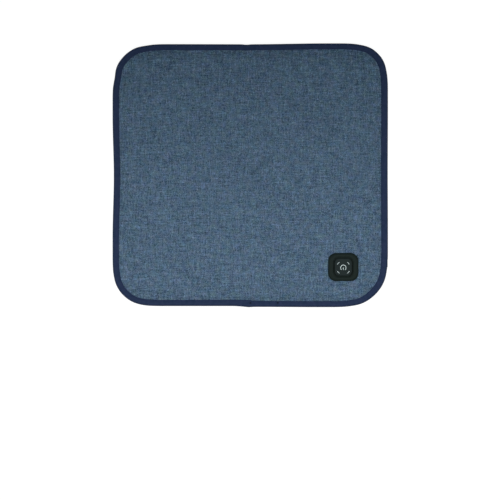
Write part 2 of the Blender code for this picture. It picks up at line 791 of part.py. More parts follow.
def sensor_x():
    """The sensor lies between two runs that join at the rear, so its lead can leave to the front."""
    beside = [x for x in column_places() if is_beside_control(RIGHT, x)]
    return beside[0] - WIRE_PITCH / 2


def make_temperature_sensor(material):
    x, y = sensor_x(), rear_row() + SENSOR_FROM_ROW
    bead = [(x, y, WIRE_LEVEL), (x, y + SENSOR_LENGTH, WIRE_LEVEL)]
    return wire("temperature_sensor", bead, material)


def make_sensor_lead(material):
    row, end = rear_row(), rear_entry(LEFT)
    start = (sensor_x(), row + SENSOR_FROM_ROW - CLEARANCE)
    path = level_path([start, (start[0], row), (end[0], row), end], LEAD_TURN)
    return wire("sensor_lead", path, material)


# The power inlet


def make_inlet_housing(material):
    """A rubber block with a blind mouth for the socket, flush with the underside."""
    outline = (INLET_WIDTH, INLET_HEIGHT, INLET_CORNER)
    mouth = grown(SOCKET_OUTLINE, CLEARANCE)
    mouth_end = INLET_FACE - SOCKET_RECESS - SOCKET_LENGTH - CLEARANCE
    rings = [
        inlet_ring(outline, INLET_BACK),
        inlet_ring(outline, INLET_FACE),
        inlet_ring(mouth, INLET_FACE),
        inlet_ring(mouth, mouth_end),
    ]
    return lofted("inlet_housing", rings, material)


def make_inlet_socket(material):
    """A drawn metal shell, open at the mouth and closed at its back."""
    front = INLET_FACE - SOCKET_RECESS
    back = front - SOCKET_LENGTH
    bore = grown(SOCKET_OUTLINE, -SOCKET_WALL)
    rings = [
        inlet_ring(SOCKET_OUTLINE, back),
        inlet_ring(SOCKET_OUTLINE, front),
        inlet_ring(bore, front),
        inlet_ring(bore, back + SOCKET_WALL),
    ]
    return lofted("inlet_socket", rings, material)


def make_inlet_tongue(material):
    back = INLET_FACE - SOCKET_RECESS - SOCKET_LENGTH + SOCKET_WALL + CLEARANCE
    half_width, half_height = TONGUE_WIDTH / 2, TONGUE_THICKNESS / 2
    low = (back, INLET_Y - half_width, INLET_LEVEL - half_height)
    front = INLET_FACE - SOCKET_RECESS - TONGUE_SETBACK
    high = (front, INLET_Y + half_width, INLET_LEVEL + half_height)
    return block("inlet_tongue", low, high, TONGUE_EDGE, material)


def make_supply_leads(material):
    """Two cores from the back of the inlet, rising over the foam to the control unit."""
    start_x = INLET_BACK - CLEARANCE
    flat_x = HALF_WIDTH - WIRE_INSET - WIRE
    end_x = CONTROL_X + TRAY_WIDTH / 2 - LEAD_END_INSIDE
    for end, entry in zip(("front", "rear"), SUPPLY_ENTRIES):
        y = CONTROL_Y + entry
        corners = [
            (start_x, y, INLET_LEVEL),
            (start_x - WIRE, y, INLET_LEVEL),
            (flat_x, y, WIRE_LEVEL),
            (end_x, y, WIRE_LEVEL),
        ]
        wire(f"supply_lead_{end}", rounded_path(corners, LEAD_TURN), material)


def inlet_room(name, top):
    """The gap that the inlet takes out of the layers it is sewn between."""
    half = INLET_WIDTH / 2 + CLEARANCE
    low = (INLET_BACK - CLEARANCE, INLET_Y - half, -OVERRUN)
    return add_helper(name, box_between(low, (HALF_WIDTH + OVERRUN, INLET_Y + half, top)))


def lead_slot():
    """The slot in foam, foil and felt through which the supply leads rise."""
    side = WIRE / 2 + SLOT_MARGIN
    low_y = CONTROL_Y + min(SUPPLY_ENTRIES) - side
    high_y = CONTROL_Y + max(SUPPLY_ENTRIES) + side
    low = (HALF_WIDTH - WIRE_INSET - WIRE - LEAD_BEND, low_y, INLET_LEVEL - side)
    return add_helper("lead_slot", box_between(low, (HALF_WIDTH, high_y, FELT_TOP + OVERRUN)))


# The control unit


def screw_places():
    """Each screw's name and place, in the tray's inner corners."""
    for across, right in (("right", 1), ("left", -1)):
        for along, up in (("rear", 1), ("front", -1)):
            x, y = right * SCREW_REACH_X, up * SCREW_REACH_Y
            yield f"{along}_{across}", CONTROL_X + x, CONTROL_Y + y


def screw_rounds(name, diameter, bottom, top):
    """A helper with one cylinder at every screw."""
    bm = bmesh.new()
    for _, x, y in screw_places():
        add_round(bm, x, y, bottom, top, diameter)
    return add_helper(name, bm)


def bezel_ring(share, level):
    """A ring between the bezel's outline, at share 0, and its opening, at share 1."""
    between = [out + (into - out) * share for out, into in zip(BEZEL_OUTLINE, OPENING_OUTLINE)]
    return unit_ring(between, level)


def bezel_hollow():
    """The groove under the flank, which leaves the bezel a shell."""
    below = BEZEL_SEAT - OVERRUN
    lip = BEZEL_SEAT + BEZEL_LIP
    ceiling = BEZEL_CREST - BEZEL_WALL - BEZEL_LIP
    rings = [
        unit_ring(grown(BEZEL_OUTLINE, -BEZEL_WALL), below),
        unit_ring(grown(BEZEL_OUTLINE, -BEZEL_WALL), lip),
        bezel_ring(HOLLOW_SHOULDER_SHARE, lip + BEZEL_WALL),
        bezel_ring(HOLLOW_OUTER_SHARE, ceiling),
        bezel_ring(HOLLOW_INNER_SHARE, ceiling),
        unit_ring(grown(OPENING_OUTLINE, BEZEL_WALL), below),
    ]
    return add_helper("bezel_hollow", loft(rings, closed=True))


def make_bezel(material):
    """A shell with a rounded flank, a wall down to a trench, and a floor round the aperture."""
    lip = BEZEL_SEAT + BEZEL_LIP
    rings = [bezel_ring(0, BEZEL_SEAT)]
    for step in range(FLANK_STEPS + 1):
        angle = step / FLANK_STEPS * pi / 2
        level = lip + (BEZEL_CREST - lip) * sin(angle)
        rings.append(bezel_ring(CREST_SHARE * (1 - cos(angle)), level))
    for step in range(1, ROLL_STEPS + 1):
        angle = step / ROLL_STEPS * pi / 2
        level = BEZEL_CREST - OPENING_EDGE * (1 - cos(angle))
        rings.append(bezel_ring(CREST_SHARE + (1 - CREST_SHARE) * sin(angle), level))
    aperture = grown(CAP_OUTLINE, -APERTURE_UNDERCUT)
    rings.append(bezel_ring(1, TRENCH_TOP))
    rings.append(unit_ring(aperture, TRENCH_TOP))
    rings.append(unit_ring(aperture, BEZEL_SEAT))
    bezel = lofted("controller_bezel", rings, material, closed=True)
    change_shape(bezel, bezel_hollow(), "DIFFERENCE")
    inside_floor = BEZEL_SEAT + TRENCH_FLOOR / 2
    change_shape(bezel, screw_rounds("bezel_bosses", BOSS, ON_BOARD, inside_floor), "UNION")
    pilot = SCREW_SHANK + 2 * CLEARANCE
    pilot_end = ON_BOARD + SCREW_BITE + CLEARANCE
    change_shape(bezel, screw_rounds("pilots", pilot, BOARD_BOTTOM, pilot_end), "DIFFERENCE")
    return bezel


def make_button_cap(material, axis):
    """A dished cap with a rounded rim, a pocket for the diffuser and a stem down to the switch."""
    rings = []
    for step in range(1, DISH_STEPS + 1):
        share = step / DISH_STEPS
        face = [size * share for size in grown(CAP_OUTLINE, -CAP_EDGE)]
        rings.append(unit_ring(face, CAP_TOP - CAP_DISH * (1 - share**2)))
    for step in range(1, EDGE_STEPS + 1):
        angle = step / EDGE_STEPS * pi / 2
        edge = grown(CAP_OUTLINE, CAP_EDGE * (sin(angle) - 1))
        rings.append(unit_ring(edge, CAP_TOP - CAP_EDGE * (1 - cos(angle))))
    pocket = grown(CAP_OUTLINE, -CAP_RIM)
    rings.append(unit_ring(CAP_OUTLINE, CAP_BOTTOM))
    rings.append(unit_ring(pocket, CAP_BOTTOM))
    rings.append(unit_ring(pocket, POCKET_TOP))
    rings.append(unit_ring(STEM_OUTLINE, POCKET_TOP))
    rings.append(unit_ring(STEM_OUTLINE, PLUNGER_TOP + CLEARANCE))
    return lofted("button_cap", rings, material, axis=axis)


def make_light_diffuser(material, axis):
    """A pale plate in the cap's pocket, with a hole for the stem."""
    outer = grown(CAP_OUTLINE, -CAP_RIM - CLEARANCE)
    hole = grown(STEM_OUTLINE, CLEARANCE)
    top = POCKET_TOP - CLEARANCE
    rings = [
        unit_ring(outer, top - DIFFUSER),
        unit_ring(outer, top),
        unit_ring(hole, top),
        unit_ring(hole, top - DIFFUSER),
    ]
    return lofted("light_diffuser", rings, material, closed=True, axis=axis)


def make_base(material):
    """A tray with a clamping flange, standoffs for the board and notches for the leads."""
    inside = grown(TRAY_OUTLINE, -TRAY_WALL)
    flange = grown(TRAY_OUTLINE, TRAY_FLANGE)
    under_flange = TRAY_TOP - TRAY_FLANGE_THICKNESS
    rings = [
        unit_ring(inside, FLOOR_TOP),
        unit_ring(inside, TRAY_TOP),
        unit_ring(flange, TRAY_TOP),
        unit_ring(flange, under_flange),
        unit_ring(TRAY_OUTLINE, under_flange),
        unit_ring(TRAY_OUTLINE, TRAY_BOTTOM),
    ]
    base = lofted("controller_base", rings, material)
    in_floor = TRAY_BOTTOM + TRAY_FLOOR / 2
    under_board = BOARD_BOTTOM - CLEARANCE
    change_shape(base, screw_rounds("standoffs", STANDOFF, in_floor, under_board), "UNION")
    head_room = SCREW_HEAD + 2 * CLEARANCE
    shank_room = SCREW_SHANK + 2 * CLEARANCE
    head_top = TRAY_BOTTOM + CLEARANCE + SCREW_HEAD_HEIGHT + CLEARANCE
    counterbores = screw_rounds("counterbores", head_room, TRAY_BOTTOM - OVERRUN, head_top)
    change_shape(base, counterbores, "DIFFERENCE")
    shank_holes = screw_rounds("shank_holes", shank_room, TRAY_BOTTOM, BOARD_TOP)
    change_shape(base, shank_holes, "DIFFERENCE")
    for helper in lead_notches():
        change_shape(base, helper, "DIFFERENCE")
    return base


def lead_notches():
    """Openings in the tray's walls at the level of the leads."""
    low, high = FLOOR_TOP, FLOOR_TOP + NOTCH_HEIGHT
    margin = ENTRY_MARGIN
    front = CONTROL_Y - TRAY_DEPTH / 2
    rear = CONTROL_Y + TRAY_DEPTH / 2
    right = CONTROL_X + TRAY_WIDTH / 2
    into = TRAY_WALL + margin
    reach = REAR_ENTRY_REACH + margin
    notches = {
        "front_notch": (
            (CONTROL_X + min(FRONT_ENTRIES) - margin, front - margin, low),
            (CONTROL_X + max(FRONT_ENTRIES) + margin, front + into, high),
        ),
        "rear_notch": (
            (CONTROL_X - reach, rear - into, low),
            (CONTROL_X + reach, rear + margin, high),
        ),
        "right_notch": (
            (right - into, CONTROL_Y + min(SUPPLY_ENTRIES) - margin, low),
            (right + margin, CONTROL_Y + max(SUPPLY_ENTRIES) + margin, high),
        ),
    }
    return [add_helper(name, box_between(*corners)) for name, corners in notches.items()]


def make_base_screws(material):
    """Four pan-head screws, driven up through base and board into the bezel's bosses."""
    bottom = TRAY_BOTTOM + CLEARANCE
    head_top = bottom + SCREW_HEAD_HEIGHT
    tip = ON_BOARD + SCREW_BITE
    head, shank = SCREW_HEAD / 2, SCREW_SHANK / 2
    profile = ((head, bottom), (head, head_top), (shank, head_top), (shank, tip))
    angles = [2 * pi * n / ROUND_STEPS for n in range(ROUND_STEPS)]
    for name, x, y in screw_places():
        rings = [
            [Vector((x + arm * cos(angle), y + arm * sin(angle), level)) for angle in angles]
            for arm, level in profile
        ]
        lofted(f"base_screw_{name}", rings, material)


def make_circuit_board(material):
    """A board that drops into the tray onto the standoffs, with a hole for each screw."""
    outline = grown(TRAY_OUTLINE, -TRAY_WALL - BOARD_FIT)
    rings = [unit_ring(outline, level) for level in (BOARD_BOTTOM, BOARD_TOP)]
    board = lofted("circuit_board", rings, material)
    hole = SCREW_SHANK + 2 * CLEARANCE
    holes = screw_rounds("board_holes", hole, BOARD_BOTTOM - OVERRUN, BOARD_TOP + OVERRUN)
    change_shape(board, holes, "DIFFERENCE")
    return board


def chip(name, x, y, size, bottom, material):
    """A small block on the board or under it, placed from the unit's middle."""
    width, depth, height = size
    low = (CONTROL_X + x - width / 2, CONTROL_Y + y - depth / 2, bottom)
    high = (CONTROL_X + x + width / 2, CONTROL_Y + y + depth / 2, bottom + height)
    return block(name, low, high, CHIP_EDGE, material)


def make_driver_chips(material):
    """The control chip on the board's left, and two power transistors on its right."""
    board_reach = TRAY_WIDTH / 2 - TRAY_WALL - BOARD_FIT
    x = board_reach - CHIP_FROM_BOARD_EDGE - CHIP_WIDTH / 2
    size = (CHIP_WIDTH, CONTROL_CHIP_DEPTH, CHIP_HEIGHT)
    chip("control_chip", -x, 0, size, ON_BOARD, material)
    size = (CHIP_WIDTH, TRANSISTOR_DEPTH, CHIP_HEIGHT)
    for along, up in (("rear", 1), ("front", -1)):
        y = up * TRANSISTOR_PITCH / 2
        chip(f"power_transistor_{along}", x, y, size, ON_BOARD, material)


def make_indicator_lights(material):
    """One light under each arc of the sign, and two under its middle."""
    size = (LIGHT_SIZE, LIGHT_SIZE, LIGHT_HEIGHT)
    beside_switch = SWITCH / 2 + LIGHT_FROM_SWITCH + LIGHT_SIZE / 2
    for along, up in (("rear", 1), ("front", -1)):
        for across, right in (("right", 1), ("left", -1)):
            x, y = right * CORNER_LIGHT_REACH, up * CORNER_LIGHT_REACH
            chip(f"indicator_light_{along}_{across}", x, y, size, ON_BOARD, material)
        chip(f"indicator_light_{along}_middle", 0, up * beside_switch, size, ON_BOARD, material)


def make_switch_body(material):
    """A low square switch with a round well for its plunger."""
    size = (SWITCH, SWITCH, SWITCH_TOP - ON_BOARD)
    body = chip("switch_body", 0, 0, size, ON_BOARD, material)
    bm = bmesh.new()
    bottom = ON_BOARD + WELL_FLOOR
    add_round(bm, CONTROL_X, CONTROL_Y, bottom, SWITCH_TOP + OVERRUN, WELL, 2 * ROUND_STEPS)
    change_shape(body, add_helper("switch_well", bm), "DIFFERENCE")
    return body


def make_switch_plunger(material, axis):
    """A plunger that stands out of the switch by its travel, and stops just above the well's floor."""
    bm = bmesh.new()
    add_round(bm, CONTROL_X, CONTROL_Y, PLUNGER_BOTTOM, PLUNGER_TOP, PLUNGER, 2 * ROUND_STEPS)
    return add_piece("switch_plunger", mesh_of("switch_plunger", bm), material, axis)


def make_lead_terminals(material):
    """Terminal blocks under the board, one for each side on which leads come in."""
    bottom = BOARD_BOTTOM - CLEARANCE - TERMINAL_HEIGHT
    reach = LEAD_END_INSIDE + CLEARANCE + TERMINAL_DEPTH / 2
    y = TRAY_DEPTH / 2 - reach
    margin = 2 * TERMINAL_MARGIN
    size = (2 * FRONT_ENTRY_PITCH + margin, TERMINAL_DEPTH, TERMINAL_HEIGHT)
    chip("lead_terminal_front", FRONT_ENTRY_OFFSET, -y, size, bottom, material)
    size = (2 * REAR_ENTRY_REACH + margin, TERMINAL_DEPTH, TERMINAL_HEIGHT)
    chip("lead_terminal_rear", 0, y, size, bottom, material)
    size = (TERMINAL_DEPTH, SUPPLY_PITCH + TERMINAL_MARGIN, TERMINAL_HEIGHT)
    chip("lead_terminal_right", TRAY_WIDTH / 2 - reach, INLET_FROM_CONTROL, size, bottom, material)


# The whole cushion


def make_half(side, finishes, axis):
    """All layers of one half, outside in."""
    names = ("foam", "reflective_foil", "carrier_felt")
    insets = (FOAM_INSET, FOIL_INSET, FELT_INSET)
    levels = ((FOAM_BOTTOM, FOAM_TOP), (FOIL_BOTTOM, FOIL_TOP), (FELT_BOTTOM, FELT_TOP))
    fills = ("foam", "foil", "felt")
    pieces = {
        "top_cover": make_top_cover(side, finishes["melange_cloth"], axis),
        "bottom_cover": make_bottom_cover(side, finishes["grip_cloth"], axis),
        "edge_binding": make_edge_binding(side, finishes["navy_tape"], axis),
        "wadding": make_wadding(side, finishes["wadding"], axis),
    }
    for name, inset, (bottom, top), fill in zip(names, insets, levels, fills):
        pieces[name] = make_flat_layer(name, side, inset, bottom, top, finishes[fill], axis)
    make_heater_wire(side, finishes["heater_sheath"], axis)
    make_crimps(side, finishes["tinned_metal"], axis)
    make_fold_leads(side, finishes["lead_sheath"], axis)
    return pieces


def cut_room_for_unit(pieces):
    """Windows for the control unit, its leads and the inlet in the layers of the right half."""
    over_crown = CROWN_HEIGHT + OVERRUN
    outline = grown(TRAY_OUTLINE, COVER_WINDOW_MARGIN - TRAY_WALL)
    window = unit_prism("cover_window", outline, TRAY_TOP - OVERRUN, over_crown)
    change_shape(pieces["top_cover"], window, "DIFFERENCE")
    outline = grown(TRAY_OUTLINE, TRAY_FLANGE + POCKET_MARGIN)
    pocket = unit_prism("flange_pocket", outline, WADDING_FLOOR - OVERRUN, over_crown)
    change_shape(pieces["wadding"], pocket, "DIFFERENCE")
    outline = grown(TRAY_OUTLINE, POCKET_MARGIN)
    on_foam = FOAM_TOP + CLEARANCE / 2
    pocket = unit_prism("tray_pocket", outline, on_foam, FELT_TOP + OVERRUN)
    low_room = inlet_room("inlet_room", INLET_BOTTOM + INLET_HEIGHT + CLEARANCE)
    tall_room = inlet_room("inlet_headroom", CROWN_HEIGHT)
    change_shape(pieces["bottom_cover"], low_room, "DIFFERENCE")
    change_shape(pieces["edge_binding"], low_room, "DIFFERENCE")
    change_shape(pieces["wadding"], tall_room, "DIFFERENCE")
    slot, window = lead_slot(), cutout_room()
    change_shape(pieces["foam"], slot, "DIFFERENCE")
    for name in ("reflective_foil", "carrier_felt"):
        for helper in (pocket, slot, window):
            change_shape(pieces[name], helper, "DIFFERENCE")


def make_control_unit(finishes, axis):
    make_bezel(finishes["black_moulding"])
    make_base(finishes["tray_moulding"])
    make_base_screws(finishes["steel"])
    make_circuit_board(finishes["board"])
    make_driver_chips(finishes["black_resin"])
    make_indicator_lights(finishes["light"])
    make_switch_body(finishes["black_resin"])
    make_lead_terminals(finishes["lead_sheath"])
    make_button_cap(finishes["cap_moulding"], axis)
    make_light_diffuser(finishes["diffuser"], axis)
    make_switch_plunger(finishes["tinned_metal"], axis)


def main():
    clear_scene()
    finishes = make_finishes()
    fold_axis = make_axis("fold_axis", Vector((0, 0, -FOLD_AXIS_BELOW)))
    button_axis = make_axis("button_axis", Vector((CONTROL_X, CONTROL_Y, CAP_TOP)))
    right = make_half(RIGHT, finishes, None)
    make_half(LEFT, finishes, fold_axis)
    cut_room_for_unit(right)
    make_heater_leads_right(finishes["lead_sheath"])
    make_thermal_cutout(finishes["black_resin"])
    make_temperature_sensor(finishes["light"])
    make_sensor_lead(finishes["lead_sheath"])
    make_inlet_housing(finishes["inlet_rubber"])
    make_inlet_socket(finishes["steel"])
    make_inlet_tongue(finishes["contact"])
    make_supply_leads(finishes["lead_sheath"])
    make_control_unit(finishes, button_axis)


main()
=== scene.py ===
"""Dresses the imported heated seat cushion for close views.

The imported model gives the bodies, the joints and the hard parts. This script adds what it leaves plain:
the woven cover over its wadding, the taped and stitched edge, the gripping underside, the moulded control
unit with its sign, the inlet in the seam and the inner layers, each with a procedural finish. All sizes are
in metres, in the model's own frame, with the cushion lying on its underside at z = 0.
"""

import json
import logging
from collections.abc import Callable, Sequence
from dataclasses import dataclass
from enum import Enum
from math import cos, exp, floor, pi, radians, sin
from typing import Any, NamedTuple

import bmesh
import bpy
import numpy as np
from bpy.types import Material, Node, NodeSocket, Object, World
from mathutils import Matrix, Vector, noise

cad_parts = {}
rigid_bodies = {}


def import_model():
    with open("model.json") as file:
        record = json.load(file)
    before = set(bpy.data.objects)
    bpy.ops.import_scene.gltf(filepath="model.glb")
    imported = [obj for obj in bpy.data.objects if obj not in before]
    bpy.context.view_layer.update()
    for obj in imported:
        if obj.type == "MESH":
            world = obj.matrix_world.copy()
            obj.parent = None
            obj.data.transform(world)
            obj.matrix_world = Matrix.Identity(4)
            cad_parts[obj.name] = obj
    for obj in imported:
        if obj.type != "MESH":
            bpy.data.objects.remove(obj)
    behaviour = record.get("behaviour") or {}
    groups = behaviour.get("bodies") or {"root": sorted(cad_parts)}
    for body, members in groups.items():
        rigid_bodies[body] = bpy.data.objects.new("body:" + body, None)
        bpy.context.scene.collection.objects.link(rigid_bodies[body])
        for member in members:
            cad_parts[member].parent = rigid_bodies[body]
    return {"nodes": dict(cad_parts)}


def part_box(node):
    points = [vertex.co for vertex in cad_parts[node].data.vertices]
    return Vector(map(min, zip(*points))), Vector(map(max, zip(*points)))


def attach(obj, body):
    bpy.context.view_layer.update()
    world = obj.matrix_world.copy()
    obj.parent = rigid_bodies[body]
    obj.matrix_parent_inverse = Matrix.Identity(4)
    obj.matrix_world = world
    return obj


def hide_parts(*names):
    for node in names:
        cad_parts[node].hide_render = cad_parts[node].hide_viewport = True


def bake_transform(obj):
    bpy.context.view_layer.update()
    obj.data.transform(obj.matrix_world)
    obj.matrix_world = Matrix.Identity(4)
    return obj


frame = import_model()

LOG = logging.getLogger("heated_cushion")
MM = 0.001
FACING = 0.9
SHARP = 40.0
SMOOTH = 60.0
WELD = 1e-6
CLOTH_MAP = "cloth"
Colour = tuple[float, float, float]
Pairs = tuple[tuple[float, float], ...]


class Body(str, Enum):
    """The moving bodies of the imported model."""

    RIGHT = "right_half"
    LEFT = "left_half"
    BUTTON = "button"


class Axis(Enum):
    """The direction along which a piece is drawn out."""

    X = 0
    Z = 2

    def along(self, length: float) -> tuple[float, float, float]:
        """A move of one length along the axis."""
        return tuple(length if n == self.value else 0.0 for n in range(3))

    def across(self, first: float, second: float) -> tuple[float, float, float]:
        """Two factors for the other two directions, with none along the axis."""
        factors = (first, second)
        return (*factors[: self.value], 1.0, *factors[self.value :])


class Ring(NamedTuple):
    """One ring of a drawn-out piece: its level on the axis and its size in the other two directions."""

    level: float
    first: float
    second: float


# Finishes


class Tree:
    """The node tree of one material, or of the world, while it is being built."""

    def __init__(self, name: str, world: World | None = None) -> None:
        """Starts a material with a bare Principled shader, or opens the world's tree.

        Args:
            name: The material's name.
            world: The world, where the tree isn't a material's.
        """
        self.owner = world or bpy.data.materials.new(name)
        self.owner.use_nodes = True
        self.nodes = self.owner.node_tree.nodes
        self.links = self.owner.node_tree.links

    def feed(self, socket: NodeSocket, value: Any) -> None:
        """Gives an input its value.

        Args:
            socket: The input.
            value: Another node's socket, which is linked, or a plain value.
        """
        if isinstance(value, NodeSocket):
            self.links.new(value, socket)
        else:
            socket.default_value = value

    def node(self, kind: str, inputs: dict[str | int, Any] | None = None, **settings: Any) -> Node:
        """Adds a node.

        Args:
            kind: The node's type name.
            inputs: Values or sockets for its inputs, by name or number.
            **settings: Properties of the node itself.

        Returns:
            The new node.
        """
        made = self.nodes.new(kind)
        for name, value in settings.items():
            setattr(made, name, value)
        for name, value in (inputs or {}).items():
            self.feed(made.inputs[name], value)
        return made

    def math(self, operation: str, *values: Any) -> NodeSocket:
        """The result of one sum on values or sockets."""
        return self.node("ShaderNodeMath", dict(enumerate(values)), operation=operation).outputs[0]

    def spread(self, value: Any, gain: float, middle: float = 0.5) -> NodeSocket:
        """Stretches a value about its usual middle of a half, to a new middle."""
        return self.math("MULTIPLY_ADD", value, gain, middle - gain / 2)

    def noise(self, place: Any, scale: float, detail: float = 2.0) -> NodeSocket:
        """A soft noise between 0 and 1."""
        inputs = {"Vector": place, "Scale": scale, "Detail": detail}
        return self.node("ShaderNodeTexNoise", inputs).outputs[0]

    def point(self, x: Any, y: Any, z: Any = 0.0) -> NodeSocket:
        """A vector from three values or sockets."""
        return self.node("ShaderNodeCombineXYZ", {0: x, 1: y, 2: z}).outputs[0]

    def parts(self, vector: Any) -> Sequence[NodeSocket]:
        """The three values of a vector."""
        return self.node("ShaderNodeSeparateXYZ", {0: vector}).outputs

    def place(self) -> NodeSocket:
        """Where a point of the piece lies, in metres."""
        return self.node("ShaderNodeTexCoord").outputs["Object"]

    def cloth_place(self) -> NodeSocket:
        """Where a point lies on the flat cloth, in metres."""
        return self.node("ShaderNodeUVMap", uv_map=CLOTH_MAP).outputs[0]

    def mix(self, share: Any, first: Any, second: Any, kind: str = "MIX") -> NodeSocket:
        """Mixes two colours by a share."""
        inputs = {0: share, 6: opaque(first), 7: opaque(second)}
        return self.node("ShaderNodeMix", inputs, data_type="RGBA", blend_type=kind).outputs[2]

    def darkened(self, colour: Any, shade: Any) -> NodeSocket:
        """A colour times a grey shade."""
        return self.mix(1.0, colour, self.point(shade, shade, shade), "MULTIPLY")

    def hump(self, value: Any) -> NodeSocket:
        """A round rise and fall over each whole step of a value."""
        return self.math("SINE", self.math("MULTIPLY", self.math("FRACT", value), pi))

    def upper(self, over: Any, first: Any, second: Any) -> NodeSocket:
        """What the upper yarn has: the first value where its yarn lies over, and the second elsewhere."""
        return self.math("MULTIPLY_ADD", over, self.math("SUBTRACT", first, second), second)

    def ramp(self, value: Any, stops: Sequence[tuple[float, Sequence[float]]]) -> NodeSocket:
        """A colour read off a ramp.

        Args:
            value: Where on the ramp to read.
            stops: Each stop's position and colour.

        Returns:
            The colour.
        """
        made = self.node("ShaderNodeValToRGB", {0: value})
        band = made.color_ramp.elements
        for _ in stops[2:]:
            band.new(0.5)
        for element, (position, colour) in zip(band, stops):
            element.position = position
            element.color = opaque(colour)
        return made.outputs[0]

    def relief(self, height: Any, depth: float) -> NodeSocket:
        """A normal that follows a height of the given depth in metres."""
        return self.node("ShaderNodeBump", {"Height": height, "Distance": depth, "Strength": 1.0}).outputs[0]

    def done(self, colour: Any, roughness: Any, normal: Any, **plain: float) -> Material:
        """Feeds the shader.

        Args:
            colour: The base colour.
            roughness: The roughness.
            normal: The bumped normal.
            **plain: Numbers for the shader's own sockets, with underscores for spaces.

        Returns:
            The finished material.
        """
        inputs = self.nodes["Principled BSDF"].inputs
        self.feed(inputs["Base Color"], colour)
        self.feed(inputs["Roughness"], roughness)
        self.feed(inputs["Normal"], normal)
        for name, value in plain.items():
            inputs[name.replace("_", " ")].default_value = value
        return self.owner


def opaque(colour: Any) -> Any:
    """A colour with full opacity, or the socket that was given."""
    return colour if isinstance(colour, NodeSocket) else (*colour[:3], 1.0)


@dataclass(frozen=True)
class MelangeCloth:
    """The cover's plain weave of unevenly dyed slate-blue yarn."""

    name: str = "melange_cloth"
    yarn: float = 0.00070
    wander: float = 0.00030
    wander_length: float = 0.011
    warp_streak: float = 0.026
    weft_streak: float = 0.032
    fibre_detail: float = 7.0
    fibre_roughness: float = 1.0
    hue_patch: float = 0.0080
    relief_depth: float = 0.00022
    dark: Colour = (0.0181, 0.0363, 0.0578)
    middle: Colour = (0.0592, 0.1051, 0.1655)
    light: Colour = (0.1990, 0.2910, 0.4100)
    greyish: Colour = (1.09, 1.02, 0.90)
    bluish: Colour = (0.91, 0.98, 1.10)
    greenish: Colour = (0.95, 1.05, 0.98)
    violet: Colour = (1.05, 0.95, 1.02)
    warp_gain: float = 8.1
    weft_gain: float = 7.6
    hue_gain: float = 2.5
    yarn_gap: float = 7.31
    gap_shade: float = 0.70
    roughness: float = 0.86
    pale_roughness: float = -0.12
    sheen: float = 0.06
    sheen_roughness: float = 0.5
    specular: float = 0.12

    def build(self) -> Material:
        """Builds the weave: which yarn is on top, how each yarn is dyed, and how it stands up.

        Returns:
            The material.
        """
        tree = Tree(self.name)
        place = tree.cloth_place()
        x, y, _ = tree.parts(place)
        sway = tree.spread(tree.noise(place, 1 / self.wander_length), self.wander, 0.0)
        warp = tree.math("DIVIDE", tree.math("ADD", x, sway), self.yarn)
        weft = tree.math("DIVIDE", tree.math("ADD", y, sway), self.yarn)
        columns, rows = tree.math("FLOOR", warp), tree.math("FLOOR", weft)
        over = tree.math("PINGPONG", tree.math("ADD", columns, rows), 1.0)
        height = tree.upper(over, tree.hump(warp), tree.hump(weft))
        warp_dye = self.dye(tree, columns, tree.math("DIVIDE", y, self.warp_streak), self.warp_gain)
        weft_dye = self.dye(tree, rows, tree.math("DIVIDE", x, self.weft_streak), self.weft_gain)
        tone = tree.upper(over, warp_dye, weft_dye)
        colour = tree.ramp(tone, ((0.0, self.dark), (0.5, self.middle), (1.0, self.light)))
        inputs = {"Vector": place, "Scale": 1 / self.hue_patch, "Detail": 2.0}
        hues = tree.parts(tree.node("ShaderNodeTexNoise", inputs).outputs["Color"])
        for hue, ends in zip(hues, ((self.greyish, self.bluish), (self.greenish, self.violet))):
            hue = tree.spread(hue, self.hue_gain)
            colour = tree.mix(1.0, colour, tree.ramp(hue, ((0.0, ends[0]), (1.0, ends[1]))), "MULTIPLY")
        # Painted shade: the colour is darkened where the yarns dip, in the gaps between them
        shade = tree.math("MULTIPLY_ADD", height, 1 - self.gap_shade, self.gap_shade)
        return tree.done(
            tree.darkened(colour, shade),
            tree.spread(tone, self.pale_roughness, self.roughness),
            tree.relief(height, self.relief_depth),
            Sheen_Weight=self.sheen,
            Sheen_Roughness=self.sheen_roughness,
            Specular_IOR_Level=self.specular,
        )

    def dye(self, tree: Tree, yarn: Any, along: Any, gain: float) -> NodeSocket:
        """How pale each yarn is along its length.

        Args:
            tree: The material's tree.
            yarn: The yarn's number.
            along: The place along it, in streaks.
            gain: How strongly the dye varies.

        Returns:
            The paleness, about a half.
        """
        place = tree.point(tree.math("MULTIPLY", yarn, self.yarn_gap), along)
        inputs = {"Vector": place, "Scale": 1.0, "Detail": self.fibre_detail}
        fibre = tree.node("ShaderNodeTexNoise", {**inputs, "Roughness": self.fibre_roughness})
        return tree.spread(fibre.outputs[0], gain)


